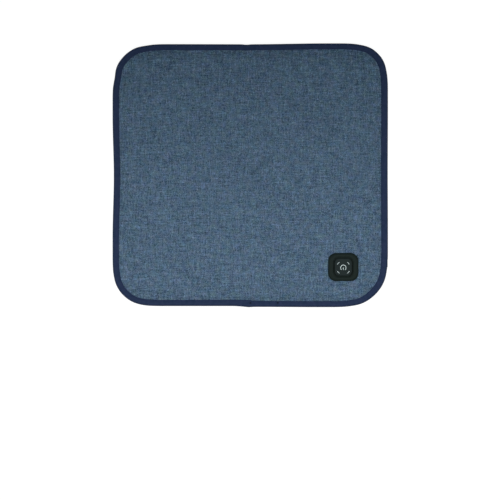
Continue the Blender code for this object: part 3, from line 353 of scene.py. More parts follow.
@dataclass(frozen=True)
class TapeCloth:
    """A narrow tape of fine diagonal weave, and the thread that sews it."""

    name: str = "navy_tape"
    colour: Colour = (0.0112, 0.0225, 0.0540)
    faded: Colour = (0.0188, 0.0278, 0.0690)
    yarn: float = 0.00042
    patch: float = 0.0055
    relief_depth: float = 0.00009
    fade_gain: float = 2.6
    fibre_shade: float = 0.9
    low_shade: float = 0.85
    shade_gain: float = 0.3
    roughness: float = 0.82
    faded_roughness: float = -0.1
    sheen: float = 0.02
    sheen_roughness: float = 0.4
    specular: float = 0.12

    def build(self) -> Material:
        """Builds the diagonal weave with its slightly uneven dye.

        Returns:
            The material.
        """
        tree = Tree(self.name)
        place = tree.cloth_place()
        x, y, _ = tree.parts(place)
        rising = tree.math("DIVIDE", tree.math("ADD", x, y), self.yarn)
        falling = tree.math("DIVIDE", tree.math("SUBTRACT", x, y), self.yarn)
        cell = tree.math("ADD", tree.math("FLOOR", rising), tree.math("FLOOR", falling))
        height = tree.upper(tree.math("PINGPONG", cell, 1.0), tree.hump(rising), tree.hump(falling))
        share = tree.spread(tree.noise(place, 1 / self.patch, 3.0), self.fade_gain)
        colour = tree.mix(share, self.colour, self.faded)
        fibre = tree.spread(tree.noise(place, 1 / self.yarn, 1.0), 1.0, self.fibre_shade)
        # Painted shade where the weave dips; the fibre noise is the yarn's own uneven tone
        relief_shade = tree.math("MULTIPLY_ADD", height, self.shade_gain, self.low_shade)
        shade = tree.math("MULTIPLY", fibre, relief_shade)
        return tree.done(
            tree.darkened(colour, shade),
            tree.spread(share, self.faded_roughness, self.roughness),
            tree.relief(height, self.relief_depth),
            Sheen_Weight=self.sheen,
            Sheen_Roughness=self.sheen_roughness,
            Specular_IOR_Level=self.specular,
        )


@dataclass(frozen=True)
class KnitCloth:
    """The underside's close charcoal knit."""

    name: str = "grip_cloth"
    colour: Colour = (0.0165, 0.0180, 0.0215)
    worn: Colour = (0.0290, 0.0310, 0.0360)
    loop: float = 0.0011
    patch: float = 0.030
    relief_depth: float = 0.00020
    wear_gain: float = 1.6
    low_shade: float = 0.75
    shade_gain: float = 0.35
    roughness: float = 0.88
    worn_roughness: float = 0.1
    specular: float = 0.25

    def build(self) -> Material:
        """Builds rows of loops with a worn cast.

        Returns:
            The material.
        """
        tree = Tree(self.name)
        place = tree.cloth_place()
        x, y, _ = tree.parts(place)
        wale = tree.math("SINE", tree.math("MULTIPLY", x, 2 * pi / self.loop))
        leaning = tree.math("MULTIPLY_ADD", tree.math("ABSOLUTE", wale), self.loop / 2, y)
        course = tree.math("SINE", tree.math("MULTIPLY", leaning, 2 * pi / self.loop))
        height = tree.math("MULTIPLY", tree.math("ADD", tree.math("ABSOLUTE", wale), course), 0.5)
        wear = tree.spread(tree.noise(place, 1 / self.patch, 4.0), self.wear_gain)
        colour = tree.mix(wear, self.colour, self.worn)
        # Painted shade where the loops dip
        shade = tree.math("MULTIPLY_ADD", height, self.shade_gain, self.low_shade)
        return tree.done(
            tree.darkened(colour, shade),
            tree.spread(wear, self.worn_roughness, self.roughness),
            tree.relief(height, self.relief_depth),
            Specular_IOR_Level=self.specular,
        )


@dataclass(frozen=True)
class Surface:
    """A finish whose colour, gloss and relief all vary a little over the piece.

    The colour goes from the first to the second in patches and a little with the fine relief, whose size and
    height are the grain and the depth. The roughness varies with the patches. The coat is a clear coat's
    weight, and through is how much light passes under the surface.
    """

    name: str
    colour: Colour
    second: Colour
    roughness: float
    grain: float
    depth: float
    patch: float = 0.012
    metallic: float = 0.0
    specular: float = 0.5
    vary: float = 0.12
    coat: float = 0.0
    through: float = 0.0
    patch_gain: float = 1.8
    fine_share: float = 0.3

    def build(self) -> Material:
        """Builds the patches, the fine relief and the uneven gloss.

        Returns:
            The material.
        """
        tree = Tree(self.name)
        place = tree.place()
        patches = tree.spread(tree.noise(place, 1 / self.patch, 4.0), self.patch_gain)
        fine = tree.noise(place, 1 / self.grain, 3.0)
        coarse = tree.math("MULTIPLY", patches, 1 - self.fine_share)
        share = tree.math("MULTIPLY_ADD", fine, self.fine_share, coarse)
        return tree.done(
            tree.mix(share, self.colour, self.second),
            tree.spread(patches, self.vary, self.roughness),
            tree.relief(fine, self.depth),
            Metallic=self.metallic,
            Specular_IOR_Level=self.specular,
            Coat_Weight=self.coat,
            Subsurface_Weight=self.through,
            Subsurface_Scale=MM,
        )


@dataclass(frozen=True)
class CrinkledFoil:
    """Thin metal film on a backing, with fine creases."""

    name: str = "foil"
    colour: Colour = (0.78, 0.79, 0.81)
    dull: Colour = (0.55, 0.56, 0.58)
    crease: float = 0.009
    depth: float = 0.0005
    roughness: float = 0.28
    vary: float = 0.15

    def build(self) -> Material:
        """Builds creases as the borders of flat facets.

        Returns:
            The material.
        """
        tree = Tree(self.name)
        place = tree.cloth_place()
        inputs = {"Vector": place, "Scale": 1 / self.crease}
        facets = tree.node("ShaderNodeTexVoronoi", inputs, feature="F2").outputs["Distance"]
        colour = tree.mix(tree.noise(place, 1 / self.crease), self.colour, self.dull)
        roughness = tree.spread(facets, self.vary, self.roughness)
        return tree.done(colour, roughness, tree.relief(facets, self.depth), Metallic=1.0)


@dataclass(frozen=True)
class PrintedBoard:
    """A circuit board: green mask over copper tracks, with tinned pads."""

    name: str = "board"
    mask: Colour = (0.008, 0.085, 0.038)
    track: Colour = (0.020, 0.170, 0.070)
    pad: Colour = (0.60, 0.58, 0.50)
    track_pitch: float = 0.0024
    pad_pitch: float = 0.0027
    pad_size: float = 0.22
    pad_scatter: float = 0.6
    track_height: float = 0.5
    relief_depth: float = 0.00004
    roughness: float = 0.42
    pad_roughness: float = -0.12

    def build(self) -> Material:
        """Builds stepped tracks and a field of small round pads.

        Returns:
            The material.
        """
        tree = Tree(self.name)
        x, y, _ = tree.parts(tree.place())
        step = tree.math("SNAP", y, 3 * self.track_pitch)
        lane = tree.math("PINGPONG", tree.math("ADD", x, step), self.track_pitch / 2)
        on_track = tree.math("GREATER_THAN", lane, self.track_pitch / 4)
        colour = tree.mix(on_track, self.mask, self.track)
        cells = tree.point(tree.math("DIVIDE", x, self.pad_pitch), tree.math("DIVIDE", y, self.pad_pitch))
        inputs = {"Vector": cells, "Scale": 1.0, "Randomness": self.pad_scatter}
        reach = tree.node("ShaderNodeTexVoronoi", inputs).outputs["Distance"]
        on_pad = tree.math("LESS_THAN", reach, self.pad_size)
        colour = tree.mix(on_pad, colour, self.pad)
        height = tree.math("MAXIMUM", on_pad, tree.math("MULTIPLY", on_track, self.track_height))
        roughness = tree.math("MULTIPLY_ADD", on_pad, self.pad_roughness, self.roughness)
        return tree.done(colour, roughness, tree.relief(height, self.relief_depth))


FINISHES = (
    MelangeCloth(),
    TapeCloth(),
    KnitCloth(),
    CrinkledFoil(),
    PrintedBoard(),
    Surface("wadding", (0.80, 0.80, 0.78), (0.62, 0.62, 0.60), 0.98, 1.2 * MM, 0.6 * MM, specular=0.1),
    Surface("foam", (0.17, 0.17, 0.18), (0.11, 0.11, 0.12), 0.96, 0.5 * MM, 0.25 * MM, specular=0.1),
    Surface("felt", (0.62, 0.61, 0.57), (0.47, 0.46, 0.43), 0.98, 0.4 * MM, 0.15 * MM, specular=0.1),
    Surface("heater_sheath", (0.34, 0.028, 0.020), (0.26, 0.020, 0.016), 0.42, 0.3 * MM, 0.01 * MM),
    Surface("lead_sheath", (0.020, 0.020, 0.022), (0.032, 0.032, 0.034), 0.42, 0.3 * MM, 0.01 * MM),
    Surface(
        "black_moulding", (0.0052, 0.0096, 0.0083), (0.0070, 0.0120, 0.0104), 0.55, 0.22 * MM, 0.016 * MM,
        patch=0.006, specular=0.06, vary=0.10,
    ),
    Surface(
        "cap_moulding", (0.0068, 0.0118, 0.0118), (0.0088, 0.0144, 0.0144), 0.52, 0.18 * MM, 0.012 * MM,
        patch=0.006, specular=0.07, vary=0.10,
    ),
    Surface("tray_moulding", (0.030, 0.030, 0.032), (0.040, 0.040, 0.042), 0.52, 0.2 * MM, 0.015 * MM),
    Surface("diffuser", (0.84, 0.86, 0.87), (0.76, 0.78, 0.79), 0.38, 0.3 * MM, 0.01 * MM, through=0.4),
    Surface("black_resin", (0.012, 0.012, 0.013), (0.020, 0.020, 0.021), 0.48, 0.1 * MM, 0.01 * MM),
    Surface("light", (0.82, 0.80, 0.62), (0.86, 0.83, 0.50), 0.25, 0.5 * MM, 0.01 * MM, coat=0.6),
    Surface(
        "tinned_metal", (0.62, 0.62, 0.60), (0.50, 0.50, 0.49), 0.32, 0.3 * MM, 0.02 * MM,
        patch=0.002, metallic=1.0,
    ),
    Surface("steel", (0.46, 0.46, 0.47), (0.36, 0.36, 0.37), 0.30, 0.2 * MM, 0.01 * MM, metallic=1.0),
    Surface(
        "inlet_rubber", (0.013, 0.013, 0.014), (0.022, 0.022, 0.023), 0.62, 0.2 * MM, 0.02 * MM, specular=0.3
    ),
    Surface("contact", (0.80, 0.57, 0.22), (0.66, 0.45, 0.16), 0.27, 0.2 * MM, 0.01 * MM, metallic=1.0),
    Surface("sign_print", (0.66, 0.75, 0.74), (0.58, 0.66, 0.65), 0.42, 0.2 * MM, 0.01 * MM, patch=0.003),
    Surface(
        "grip_dot", (0.030, 0.031, 0.034), (0.045, 0.046, 0.050), 0.50, 0.2 * MM, 0.02 * MM, specular=0.4
    ),
    # Near-black thread for the tacks in the front tape's dimples: painted shade in the dimples
    TapeCloth("dimple_shade_thread", (0.0030, 0.0050, 0.0120), (0.0042, 0.0066, 0.0150), 0.00018, 0.02, 0.00004),
    TapeCloth("navy_thread", (0.0120, 0.0240, 0.0620), (0.0160, 0.0300, 0.0740), 0.00018, 0.02, 0.00004),
)


class Wardrobe:
    """Every finish, built once and handed out by name."""

    def __init__(self) -> None:
        """Builds all the materials."""
        self.materials = {finish.name: finish.build() for finish in FINISHES}

    def dress(self, obj: Object, name: str, slot: str | None = None) -> None:
        """Gives a new piece its finish.

        Args:
            obj: The piece.
            name: The finish.
            slot: The record's slot, where it isn't the finish's own name. Not used.
        """
        obj.data.materials.clear()
        obj.data.materials.append(self.materials[name])

    def dress_carried(self) -> None:
        """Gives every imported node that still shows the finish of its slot."""
        for name, node in frame["nodes"].items():
            if node.hide_render:
                continue
            for number, held in enumerate(node.data.materials):
                node.data.materials[number] = self.materials[held.name.split(".")[0]]
            LOG.info("carried over %s", name)


# The bench: new pieces from primitives


def choose(obj: Object) -> None:
    """Makes one object the only selected and the active one.

    Args:
        obj: The object.
    """
    bpy.ops.object.select_all(action="DESELECT")
    obj.select_set(True)
    bpy.context.view_layer.objects.active = obj


def apply_modifier(obj: Object, kind: str, **settings: Any) -> None:
    """Adds a modifier to a piece and applies it.

    Args:
        obj: The piece.
        kind: The modifier's type.
        **settings: The modifier's properties.
    """
    choose(obj)
    modifier = obj.modifiers.new(kind.title(), kind)
    for name, value in settings.items():
        setattr(modifier, name, value)
    bpy.ops.object.modifier_apply(modifier=modifier.name)


class Workpiece:
    """One new piece on the bench, shaped in edit mode by operators on what is picked in code."""

    def __init__(self, name: str) -> None:
        """Takes the primitive that was just added, sets its place in its mesh and opens it for editing.

        Args:
            name: The piece's name.
        """
        self.obj = bpy.context.active_object
        self.obj.name = name
        self.obj.data.name = name
        bpy.ops.object.transform_apply(location=True, rotation=True, scale=True)
        bpy.ops.object.mode_set(mode="EDIT")

    @classmethod
    def block(cls, name: str, low: Sequence[float], high: Sequence[float]) -> "Workpiece":
        """Starts from a block.

        Args:
            name: The piece's name.
            low: The block's lowest corner.
            high: Its highest corner.

        Returns:
            The piece, open for editing.
        """
        low, high = Vector(low), Vector(high)
        bpy.ops.mesh.primitive_cube_add(size=1.0, location=(low + high) / 2, scale=high - low)
        return cls(name)

    @classmethod
    def disc(
        cls, name: str, middle: Sequence[float], radius: float, steps: int, turn: Sequence[float] = (0, 0, 0)
    ) -> "Workpiece":
        """Starts from a flat disc, picked as a whole.

        Args:
            name: The piece's name.
            middle: The disc's middle.
            radius: Its radius.
            steps: How many corners it has.
            turn: Its rotation about the three axes.

        Returns:
            The piece, open for editing.
        """
        bpy.ops.mesh.primitive_circle_add(
            vertices=steps, radius=radius, fill_type="NGON", location=middle, rotation=turn
        )
        piece = cls(name)
        piece.pick("FACE", lambda face: True)
        return piece

    @classmethod
    def rod(cls, name: str, middle: Sequence[float], radius: float, length: float, steps: int) -> "Workpiece":
        """Starts from an upright cylinder."""
        bpy.ops.mesh.primitive_cylinder_add(vertices=steps, radius=radius, depth=length, location=middle)
        return cls(name)

    def pick(self, element: str, test: Callable[[Any], bool]) -> None:
        """Selects only the faces, edges or corners that pass a test.

        Args:
            element: Which kind: FACE, EDGE or VERT.
            test: Says whether one of them is wanted.
        """
        bpy.ops.mesh.select_mode(type=element)
        bpy.ops.mesh.select_all(action="DESELECT")
        shape = bmesh.from_edit_mesh(self.obj.data)
        kinds = {"FACE": shape.faces, "EDGE": shape.edges, "VERT": shape.verts}
        shape.normal_update()
        for one in [one for one in kinds[element] if test(one)]:
            one.select_set(True)
        shape.select_flush_mode()
        bmesh.update_edit_mesh(self.obj.data)

    def pick_facing(self, direction: Sequence[float]) -> None:
        """Picks the faces that look one way."""
        direction = Vector(direction)
        self.pick("FACE", lambda face: face.normal.dot(direction) > FACING)

    def round_edges_along(self, axis: Axis, radius: float, steps: int) -> None:
        """Rounds the block's four edges that run along an axis.

        Args:
            axis: The axis.
            radius: The rounding's radius.
            steps: How many faces each rounding gets.
        """
        way = Vector(axis.along(1.0))

        def runs_along(edge: bmesh.types.BMEdge) -> bool:
            """Whether an edge runs along the axis."""
            return abs((edge.verts[1].co - edge.verts[0].co).normalized().dot(way)) > FACING

        self.pick("EDGE", runs_along)
        bpy.ops.mesh.bevel(offset=radius, segments=steps, affect="EDGES")

    def draw_out(self, rings: Sequence[Ring], middle: Sequence[float], axis: Axis = Axis.Z) -> None:
        """Extrudes the picked face from its first ring through the others, one after another.

        Args:
            rings: The rings, of which the first is the picked face itself.
            middle: The point about which the rings are sized.
            axis: The direction in which the rings follow each other.
        """
        for before, after in zip(rings, rings[1:]):
            move = axis.along(after.level - before.level)
            bpy.ops.mesh.extrude_region_move(TRANSFORM_OT_translate={"value": move})
            factors = axis.across(after.first / before.first, after.second / before.second)
            bpy.ops.transform.resize(value=factors, center_override=middle)

    def delete_picked(self) -> None:
        """Deletes the picked faces."""
        bpy.ops.mesh.delete(type="FACE")

    def bridge_openings(self) -> None:
        """Joins two open rims with a wall."""
        self.pick("EDGE", lambda edge: len(edge.link_faces) == 1)
        bpy.ops.mesh.bridge_edge_loops()

    def done(self, smooth_angle: float = 32.0, edge: float = 0.0) -> Object:
        """Turns the faces outwards, takes off sharp edges where asked and shades the piece.

        Args:
            smooth_angle: Up to which angle in degrees two faces are shaded as one.
            edge: How much is taken off each sharp edge.

        Returns:
            The finished object.
        """
        bpy.ops.mesh.select_all(action="SELECT")
        bpy.ops.mesh.remove_doubles(threshold=WELD)
        bpy.ops.mesh.normals_make_consistent(inside=False)
        bpy.ops.object.mode_set(mode="OBJECT")
        if edge:
            limit = {"limit_method": "ANGLE", "angle_limit": radians(SHARP)}
            apply_modifier(self.obj, "BEVEL", width=edge, segments=2, **limit)
        choose(self.obj)
        bpy.ops.object.shade_smooth_by_angle(angle=radians(smooth_angle))
        return self.obj


def add_object(name: str, data: Any) -> Object:
    """Adds an object that shows a mesh, a curve, a lamp or a camera.

    Args:
        name: The object's name.
        data: What it shows.

    Returns:
        The new object.
    """
    obj = bpy.data.objects.new(name, data)
    bpy.context.scene.collection.objects.link(obj)
    return obj


def join(first: Object, others: Sequence[Object]) -> Object:
    """Joins objects into the first.

    Args:
        first: The object that stays.
        others: The objects that become part of it.

    Returns:
        The joined object.
    """
    choose(first)
    for other in others:
        other.select_set(True)
    bpy.ops.object.join()
    return first


def cut_away(obj: Object, low: Sequence[float], high: Sequence[float]) -> None:
    """Cuts a block-shaped room out of a closed piece.

    Args:
        obj: The piece.
        low: The block's lowest corner.
        high: Its highest corner.
    """
    cutter = Workpiece.block("cutter", low, high).done()
    apply_modifier(obj, "BOOLEAN", object=cutter, operation="DIFFERENCE", solver="EXACT")
    bpy.data.objects.remove(cutter, do_unlink=True)


def copies(name: str, template: Object, places: Sequence[Matrix]) -> Object:
    """One object that holds a copy of a template's mesh at each place.

    Args:
        name: The new object's name.
        template: The piece that is copied, and then removed.
        places: Where each copy goes.

    Returns:
        The new object.
    """
    mesh = template.data
    corners = np.array([v.co for v in mesh.vertices])
    faces = [tuple(f.vertices) for f in mesh.polygons]
    turns = np.array([m.to_3x3() for m in places])
    moves = np.array([m.translation for m in places])
    points = np.einsum("nij,vj->nvi", turns, corners) + moves[:, None, :]
    count = len(corners)
    all_faces = [tuple(n * count + v for v in face) for n in range(len(places)) for face in faces]
    made = add_mesh(name, points.reshape(-1, 3), all_faces)
    bpy.data.objects.remove(template, do_unlink=True)
    return made


def add_mesh(
    name: str,
    points: np.ndarray,
    faces: Sequence[Sequence[int]],
    cloth: np.ndarray | None = None,
    smooth_angle: float = SMOOTH,
) -> Object:
    """Makes an object from points and faces.

    Args:
        name: The object's name.
        points: The points, one row each.
        faces: Each face's point numbers, counter-clockwise from outside.
        cloth: Each point's place on the flat cloth, in metres, where the piece is woven.
        smooth_angle: Up to which angle in degrees two faces are shaded as one.

    Returns:
        The new object.
    """
    mesh = bpy.data.meshes.new(name)
    mesh.from_pydata([tuple(p) for p in points], [], faces)
    if cloth is not None:
        layer = mesh.uv_layers.new(name=CLOTH_MAP)
        corner_points = np.empty(len(mesh.loops), dtype=np.int64)
        mesh.loops.foreach_get("vertex_index", corner_points)
        layer.data.foreach_set("uv", cloth[corner_points].astype(np.float32).ravel())
    mesh.validate()
    obj = add_object(name, mesh)
    choose(obj)
    bpy.ops.object.shade_smooth_by_angle(angle=radians(smooth_angle))
    return obj


# The pad's outline and its cloth


class Corner(NamedTuple):
    """One corner of the pad: its side, its radius and how far its two ends are eased inwards.

    The first easing is where it runs into the front or the rear, and the second towards the left or right.
    """

    across: int
    along: int
    radius: float
    end_easing: float
    side_easing: float

    def easing(self, side: int, into: np.ndarray) -> np.ndarray:
        """How far the outline is eased inwards on a side, at each distance into the corner."""
        most = self.side_easing if side % 2 else self.end_easing
        return most * np.exp(-(((into - EASED_AT) / EASED_REACH) ** 2))


CORNERS = (
    Corner(-1, -1, 0.060, 0.0008, 0.0010),
    Corner(1, -1, 0.0705, 0.0010, 0.0010),
    Corner(1, 1, 0.056, 0.0013, 0.0013),
    Corner(-1, 1, 0.065, 0.0016, 0.0026),
)
EASED_AT = 0.010
EASED_REACH = 0.014


def fall(share: np.ndarray | float) -> np.ndarray:
    """A smooth fall from 1 at a share of 0 to 0 at a share of 1 and beyond."""
    return np.cos(np.clip(share, 0, 1) * pi / 2) ** 2


def clipped(share: float) -> float:
    """A share kept between 0 and 1."""
    return min(max(share, 0.0), 1.0)


def bell(gap: float, reach: float) -> float:
    """A bell curve that is 1 at no gap and fades over a reach."""
    return exp(-((gap / reach) ** 2))


@dataclass(frozen=True)
class Outline:
    """The pad seen from above: a rounded rectangle whose edge lies in a little here and there.

    The corners and sides are counted counter-clockwise from the front left corner and the front side.
    """

    width: float = 0.4503
    depth: float = 0.4314
    drawn_in_right: float = 0.0003
    drawn_in_left: float = 0.0020
    left_set_in_front: float = 0.0018
    left_set_in_rear: float = 0.0013
    fold_set_in_front: float = 0.0004
    fold_set_in_rear: float = 0.0015
    fold_draw_share: float = 0.75
    front_left_draw: float = 0.030
    side_free_share: float = 1 / 6
    inner_corner: float = 0.002
    core_inset: float = 0.1088
    straight_steps: int = 60
    corner_steps: int = 14

    def fading(self, inset: float) -> float:
        """How much of the outline's unevenness is left at an inset."""
        return max(1 - inset / self.core_inset, 0.0)

    def corner(self, number: int, inset: float) -> tuple[np.ndarray, float]:
        """A corner's centre and radius.

        Args:
            number: Which corner.
            inset: How far inside the outline.

        Returns:
            The centre and the radius.
        """
        corner = CORNERS[number % 4]
        room = self.depth / 2 - inset
        radius = min(max(corner.radius - inset, self.inner_corner), room)
        set_in = 0.0
        if corner.across < 0:
            set_in = self.left_set_in_front if corner.along < 0 else self.left_set_in_rear
        x = corner.across * (self.width / 2 - inset - radius)
        return np.array([x, corner.along * (room - radius - set_in * self.fading(inset))]), radius

    def bend(self, number: int, side: int, inset: float, sweep: np.ndarray) -> np.ndarray:
        """Points on a corner, eased inwards where it runs into its side.

        Args:
            number: Which corner.
            side: Into which side it runs.
            inset: How far inside the outline.
            sweep: The angles from the side's outward direction.

        Returns:
            The points.
        """
        centre, radius = self.corner(number, inset)
        corner = CORNERS[number % 4]
        reach = radius - corner.easing(side, corner.radius * abs(sweep)) * self.fading(inset)
        facing = (side - 1) * pi / 2
        return centre + reach * np.hstack([np.cos(facing + sweep), np.sin(facing + sweep)])

    def side(self, number: int, inset: float) -> np.ndarray:
        """One side, from the middle of a corner to the middle of the next.

        Args:
            number: 0 for the front, 1 for the right, 2 for the rear and 3 for the left.
            inset: How far inside the outline.

        Returns:
            The points.
        """
        facing = (number - 1) * pi / 2
        outward = np.array([cos(facing), sin(facing)])
        sweep = np.linspace(-pi / 4, 0, self.corner_steps)[:, None]
        opening = self.bend(number, number, inset, sweep)
        closing = self.bend(number + 1, number, inset, -sweep)[::-1]
        share = np.linspace(0, 1, self.straight_steps)[1:-1, None]
        joints = [centre + outward * radius for centre, radius in
                  (self.corner(number, inset), self.corner(number + 1, inset))]
        run = joints[0] + (joints[1] - joints[0]) * share
        if number % 2:
            free = self.side_free_share
            swell = np.sin(np.clip((share - free) / (1 - 2 * free), 0, 1) * pi) ** 2
            inwards = (self.drawn_in_right, self.drawn_in_left)[number // 2] * swell
        else:
            inwards = self.end_run(number, run, joints)
        for corner, joint in zip((CORNERS[number], CORNERS[(number + 1) % 4]), joints):
            gone = np.linalg.norm(run - joint, axis=1, keepdims=True)
            inwards = inwards + corner.easing(number, -gone)
        run = run - outward * inwards * self.fading(inset)
        return np.vstack([opening, run, closing])

    def end_run(self, number: int, run: np.ndarray, joints: Sequence[np.ndarray]) -> np.ndarray:
        """How far the front or the rear is moved in, once its points lie at their own half's level.

        Args:
            number: 0 for the front or 2 for the rear.
            run: The points of the straight run, whose levels are set to their half's.
            joints: Where the run meets its two corners.

        Returns:
            How far each point is moved in.
        """
        set_in = (self.fold_set_in_front, self.left_set_in_front)
        if number == 2:
            set_in = (self.fold_set_in_rear, self.left_set_in_rear)
        x = run[:, :1]
        is_first = np.sign(x) == np.sign(joints[0][0])
        run[:, 1:] = np.where(is_first, joints[0][1], joints[1][1])
        reach = self.fold_draw_share * np.where(is_first, abs(joints[0][0]), abs(joints[1][0]))
        if number == 0:
            reach = np.where(x < 0, np.minimum(self.front_left_draw, reach), reach)
        level_step = set_in[0] - np.where(x < 0, set_in[1], 0.0)
        return level_step * fall(abs(x) / reach)

    def loop(self, inset: float, count: int) -> np.ndarray:
        """The whole outline in even steps, from the middle of the front left corner and without a repeat."""
        line = np.vstack([self.side(number, inset)[:-1] for number in range(4)])
        return evenly(np.vstack([line, line[:1]]), count)[:-1]


def evenly(line: np.ndarray, count: int) -> np.ndarray:
    """Points in even steps along a line.

    Args:
        line: The line's own points.
        count: How many steps.

    Returns:
        One point more than there are steps.
    """
    steps = np.linalg.norm(np.diff(line, axis=0), axis=1)
    reach = np.concatenate([[0], np.cumsum(steps)])
    wanted = np.linspace(0, reach[-1], count + 1)
    return np.stack([np.interp(wanted, reach, line[:, n]) for n in range(line.shape[1])], axis=1)


@dataclass(frozen=True)
class Crown:
    """How the pad's upper cloth rises from the seam to its level middle."""

    height: float = 0.0120
    seam: float = 0.0053
    rise: float = 0.0104
    roll: float = 0.011

    def level(self, inset: np.ndarray) -> np.ndarray:
        """The upper cloth's height at an inset from the outline."""
        rolled = self.height - (self.height - self.seam) * np.exp(-(inset - self.rise) / self.roll)
        return np.where(inset <= self.rise, self.seam, rolled)


class Grid(NamedTuple):
    """A grid of places on the pad and how far each lies inside the outline."""

    places: np.ndarray
    insets: np.ndarray

    def heights(self, rule: Callable[[np.ndarray, float], float]) -> np.ndarray:
        """A height at each of the grid's places.

        Args:
            rule: Gives the height at a place and its inset.

        Returns:
            The heights.
        """
        heights = np.zeros(self.insets.shape)
        for index in np.ndindex(heights.shape):
            heights[index] = rule(self.places[index], self.insets[index])
        return heights

    def faces(self) -> list[list[int]]:
        """The grid's squares, facing up.

        Returns:
            Each square's four point numbers.
        """
        across, along = self.insets.shape
        number = np.arange(across * along).reshape(across, along)
        corners = (number[:-1, :-1], number[1:, :-1], number[1:, 1:], number[:-1, 1:])
        return np.stack([corner.ravel() for corner in corners], axis=1).tolist()


def pad_grid(outline: Outline, edge: float, across: int, along: int) -> Grid:
    """A grid whose outermost lines follow the pad's rounded outline and whose inner ones run straight.

    Args:
        outline: The pad's outline.
        edge: How far inside the outline the grid ends.
        across: How many squares from left to right.
        along: How many squares from front to rear, an even number.

    Returns:
        The grid.
    """
    places = np.zeros((across + 1, along + 1, 2))
    insets = np.zeros((across + 1, along + 1))
    rings = along // 2
    for ring in range(rings + 1):
        inset = edge + (outline.depth / 2 - edge) * ring / rings
        counts = (across - 2 * ring, along - 2 * ring)
        left, right, front, rear = ring, across - ring, ring, along - ring
        insets[left : right + 1, [front, rear]] = inset
        insets[[left, right], front : rear + 1] = inset
        places[left : right + 1, front] = evenly(outline.side(0, inset), counts[0])
        places[left : right + 1, rear] = evenly(outline.side(2, inset), counts[0])[::-1]
        if counts[1]:
            places[right, front : rear + 1] = evenly(outline.side(1, inset), counts[1])
            places[left, front : rear + 1] = evenly(outline.side(3, inset), counts[1])[::-1]
    return Grid(places, insets)


# The control unit


def quarter(steps: int, first: int = 0) -> list[tuple[float, float]]:
    """How far up and how far in a quarter round has come at each of its steps, from the first wanted."""
    angles = [step / steps * pi / 2 for step in range(first, steps + 1)]
    return [(sin(angle), 1 - cos(angle)) for angle in angles]


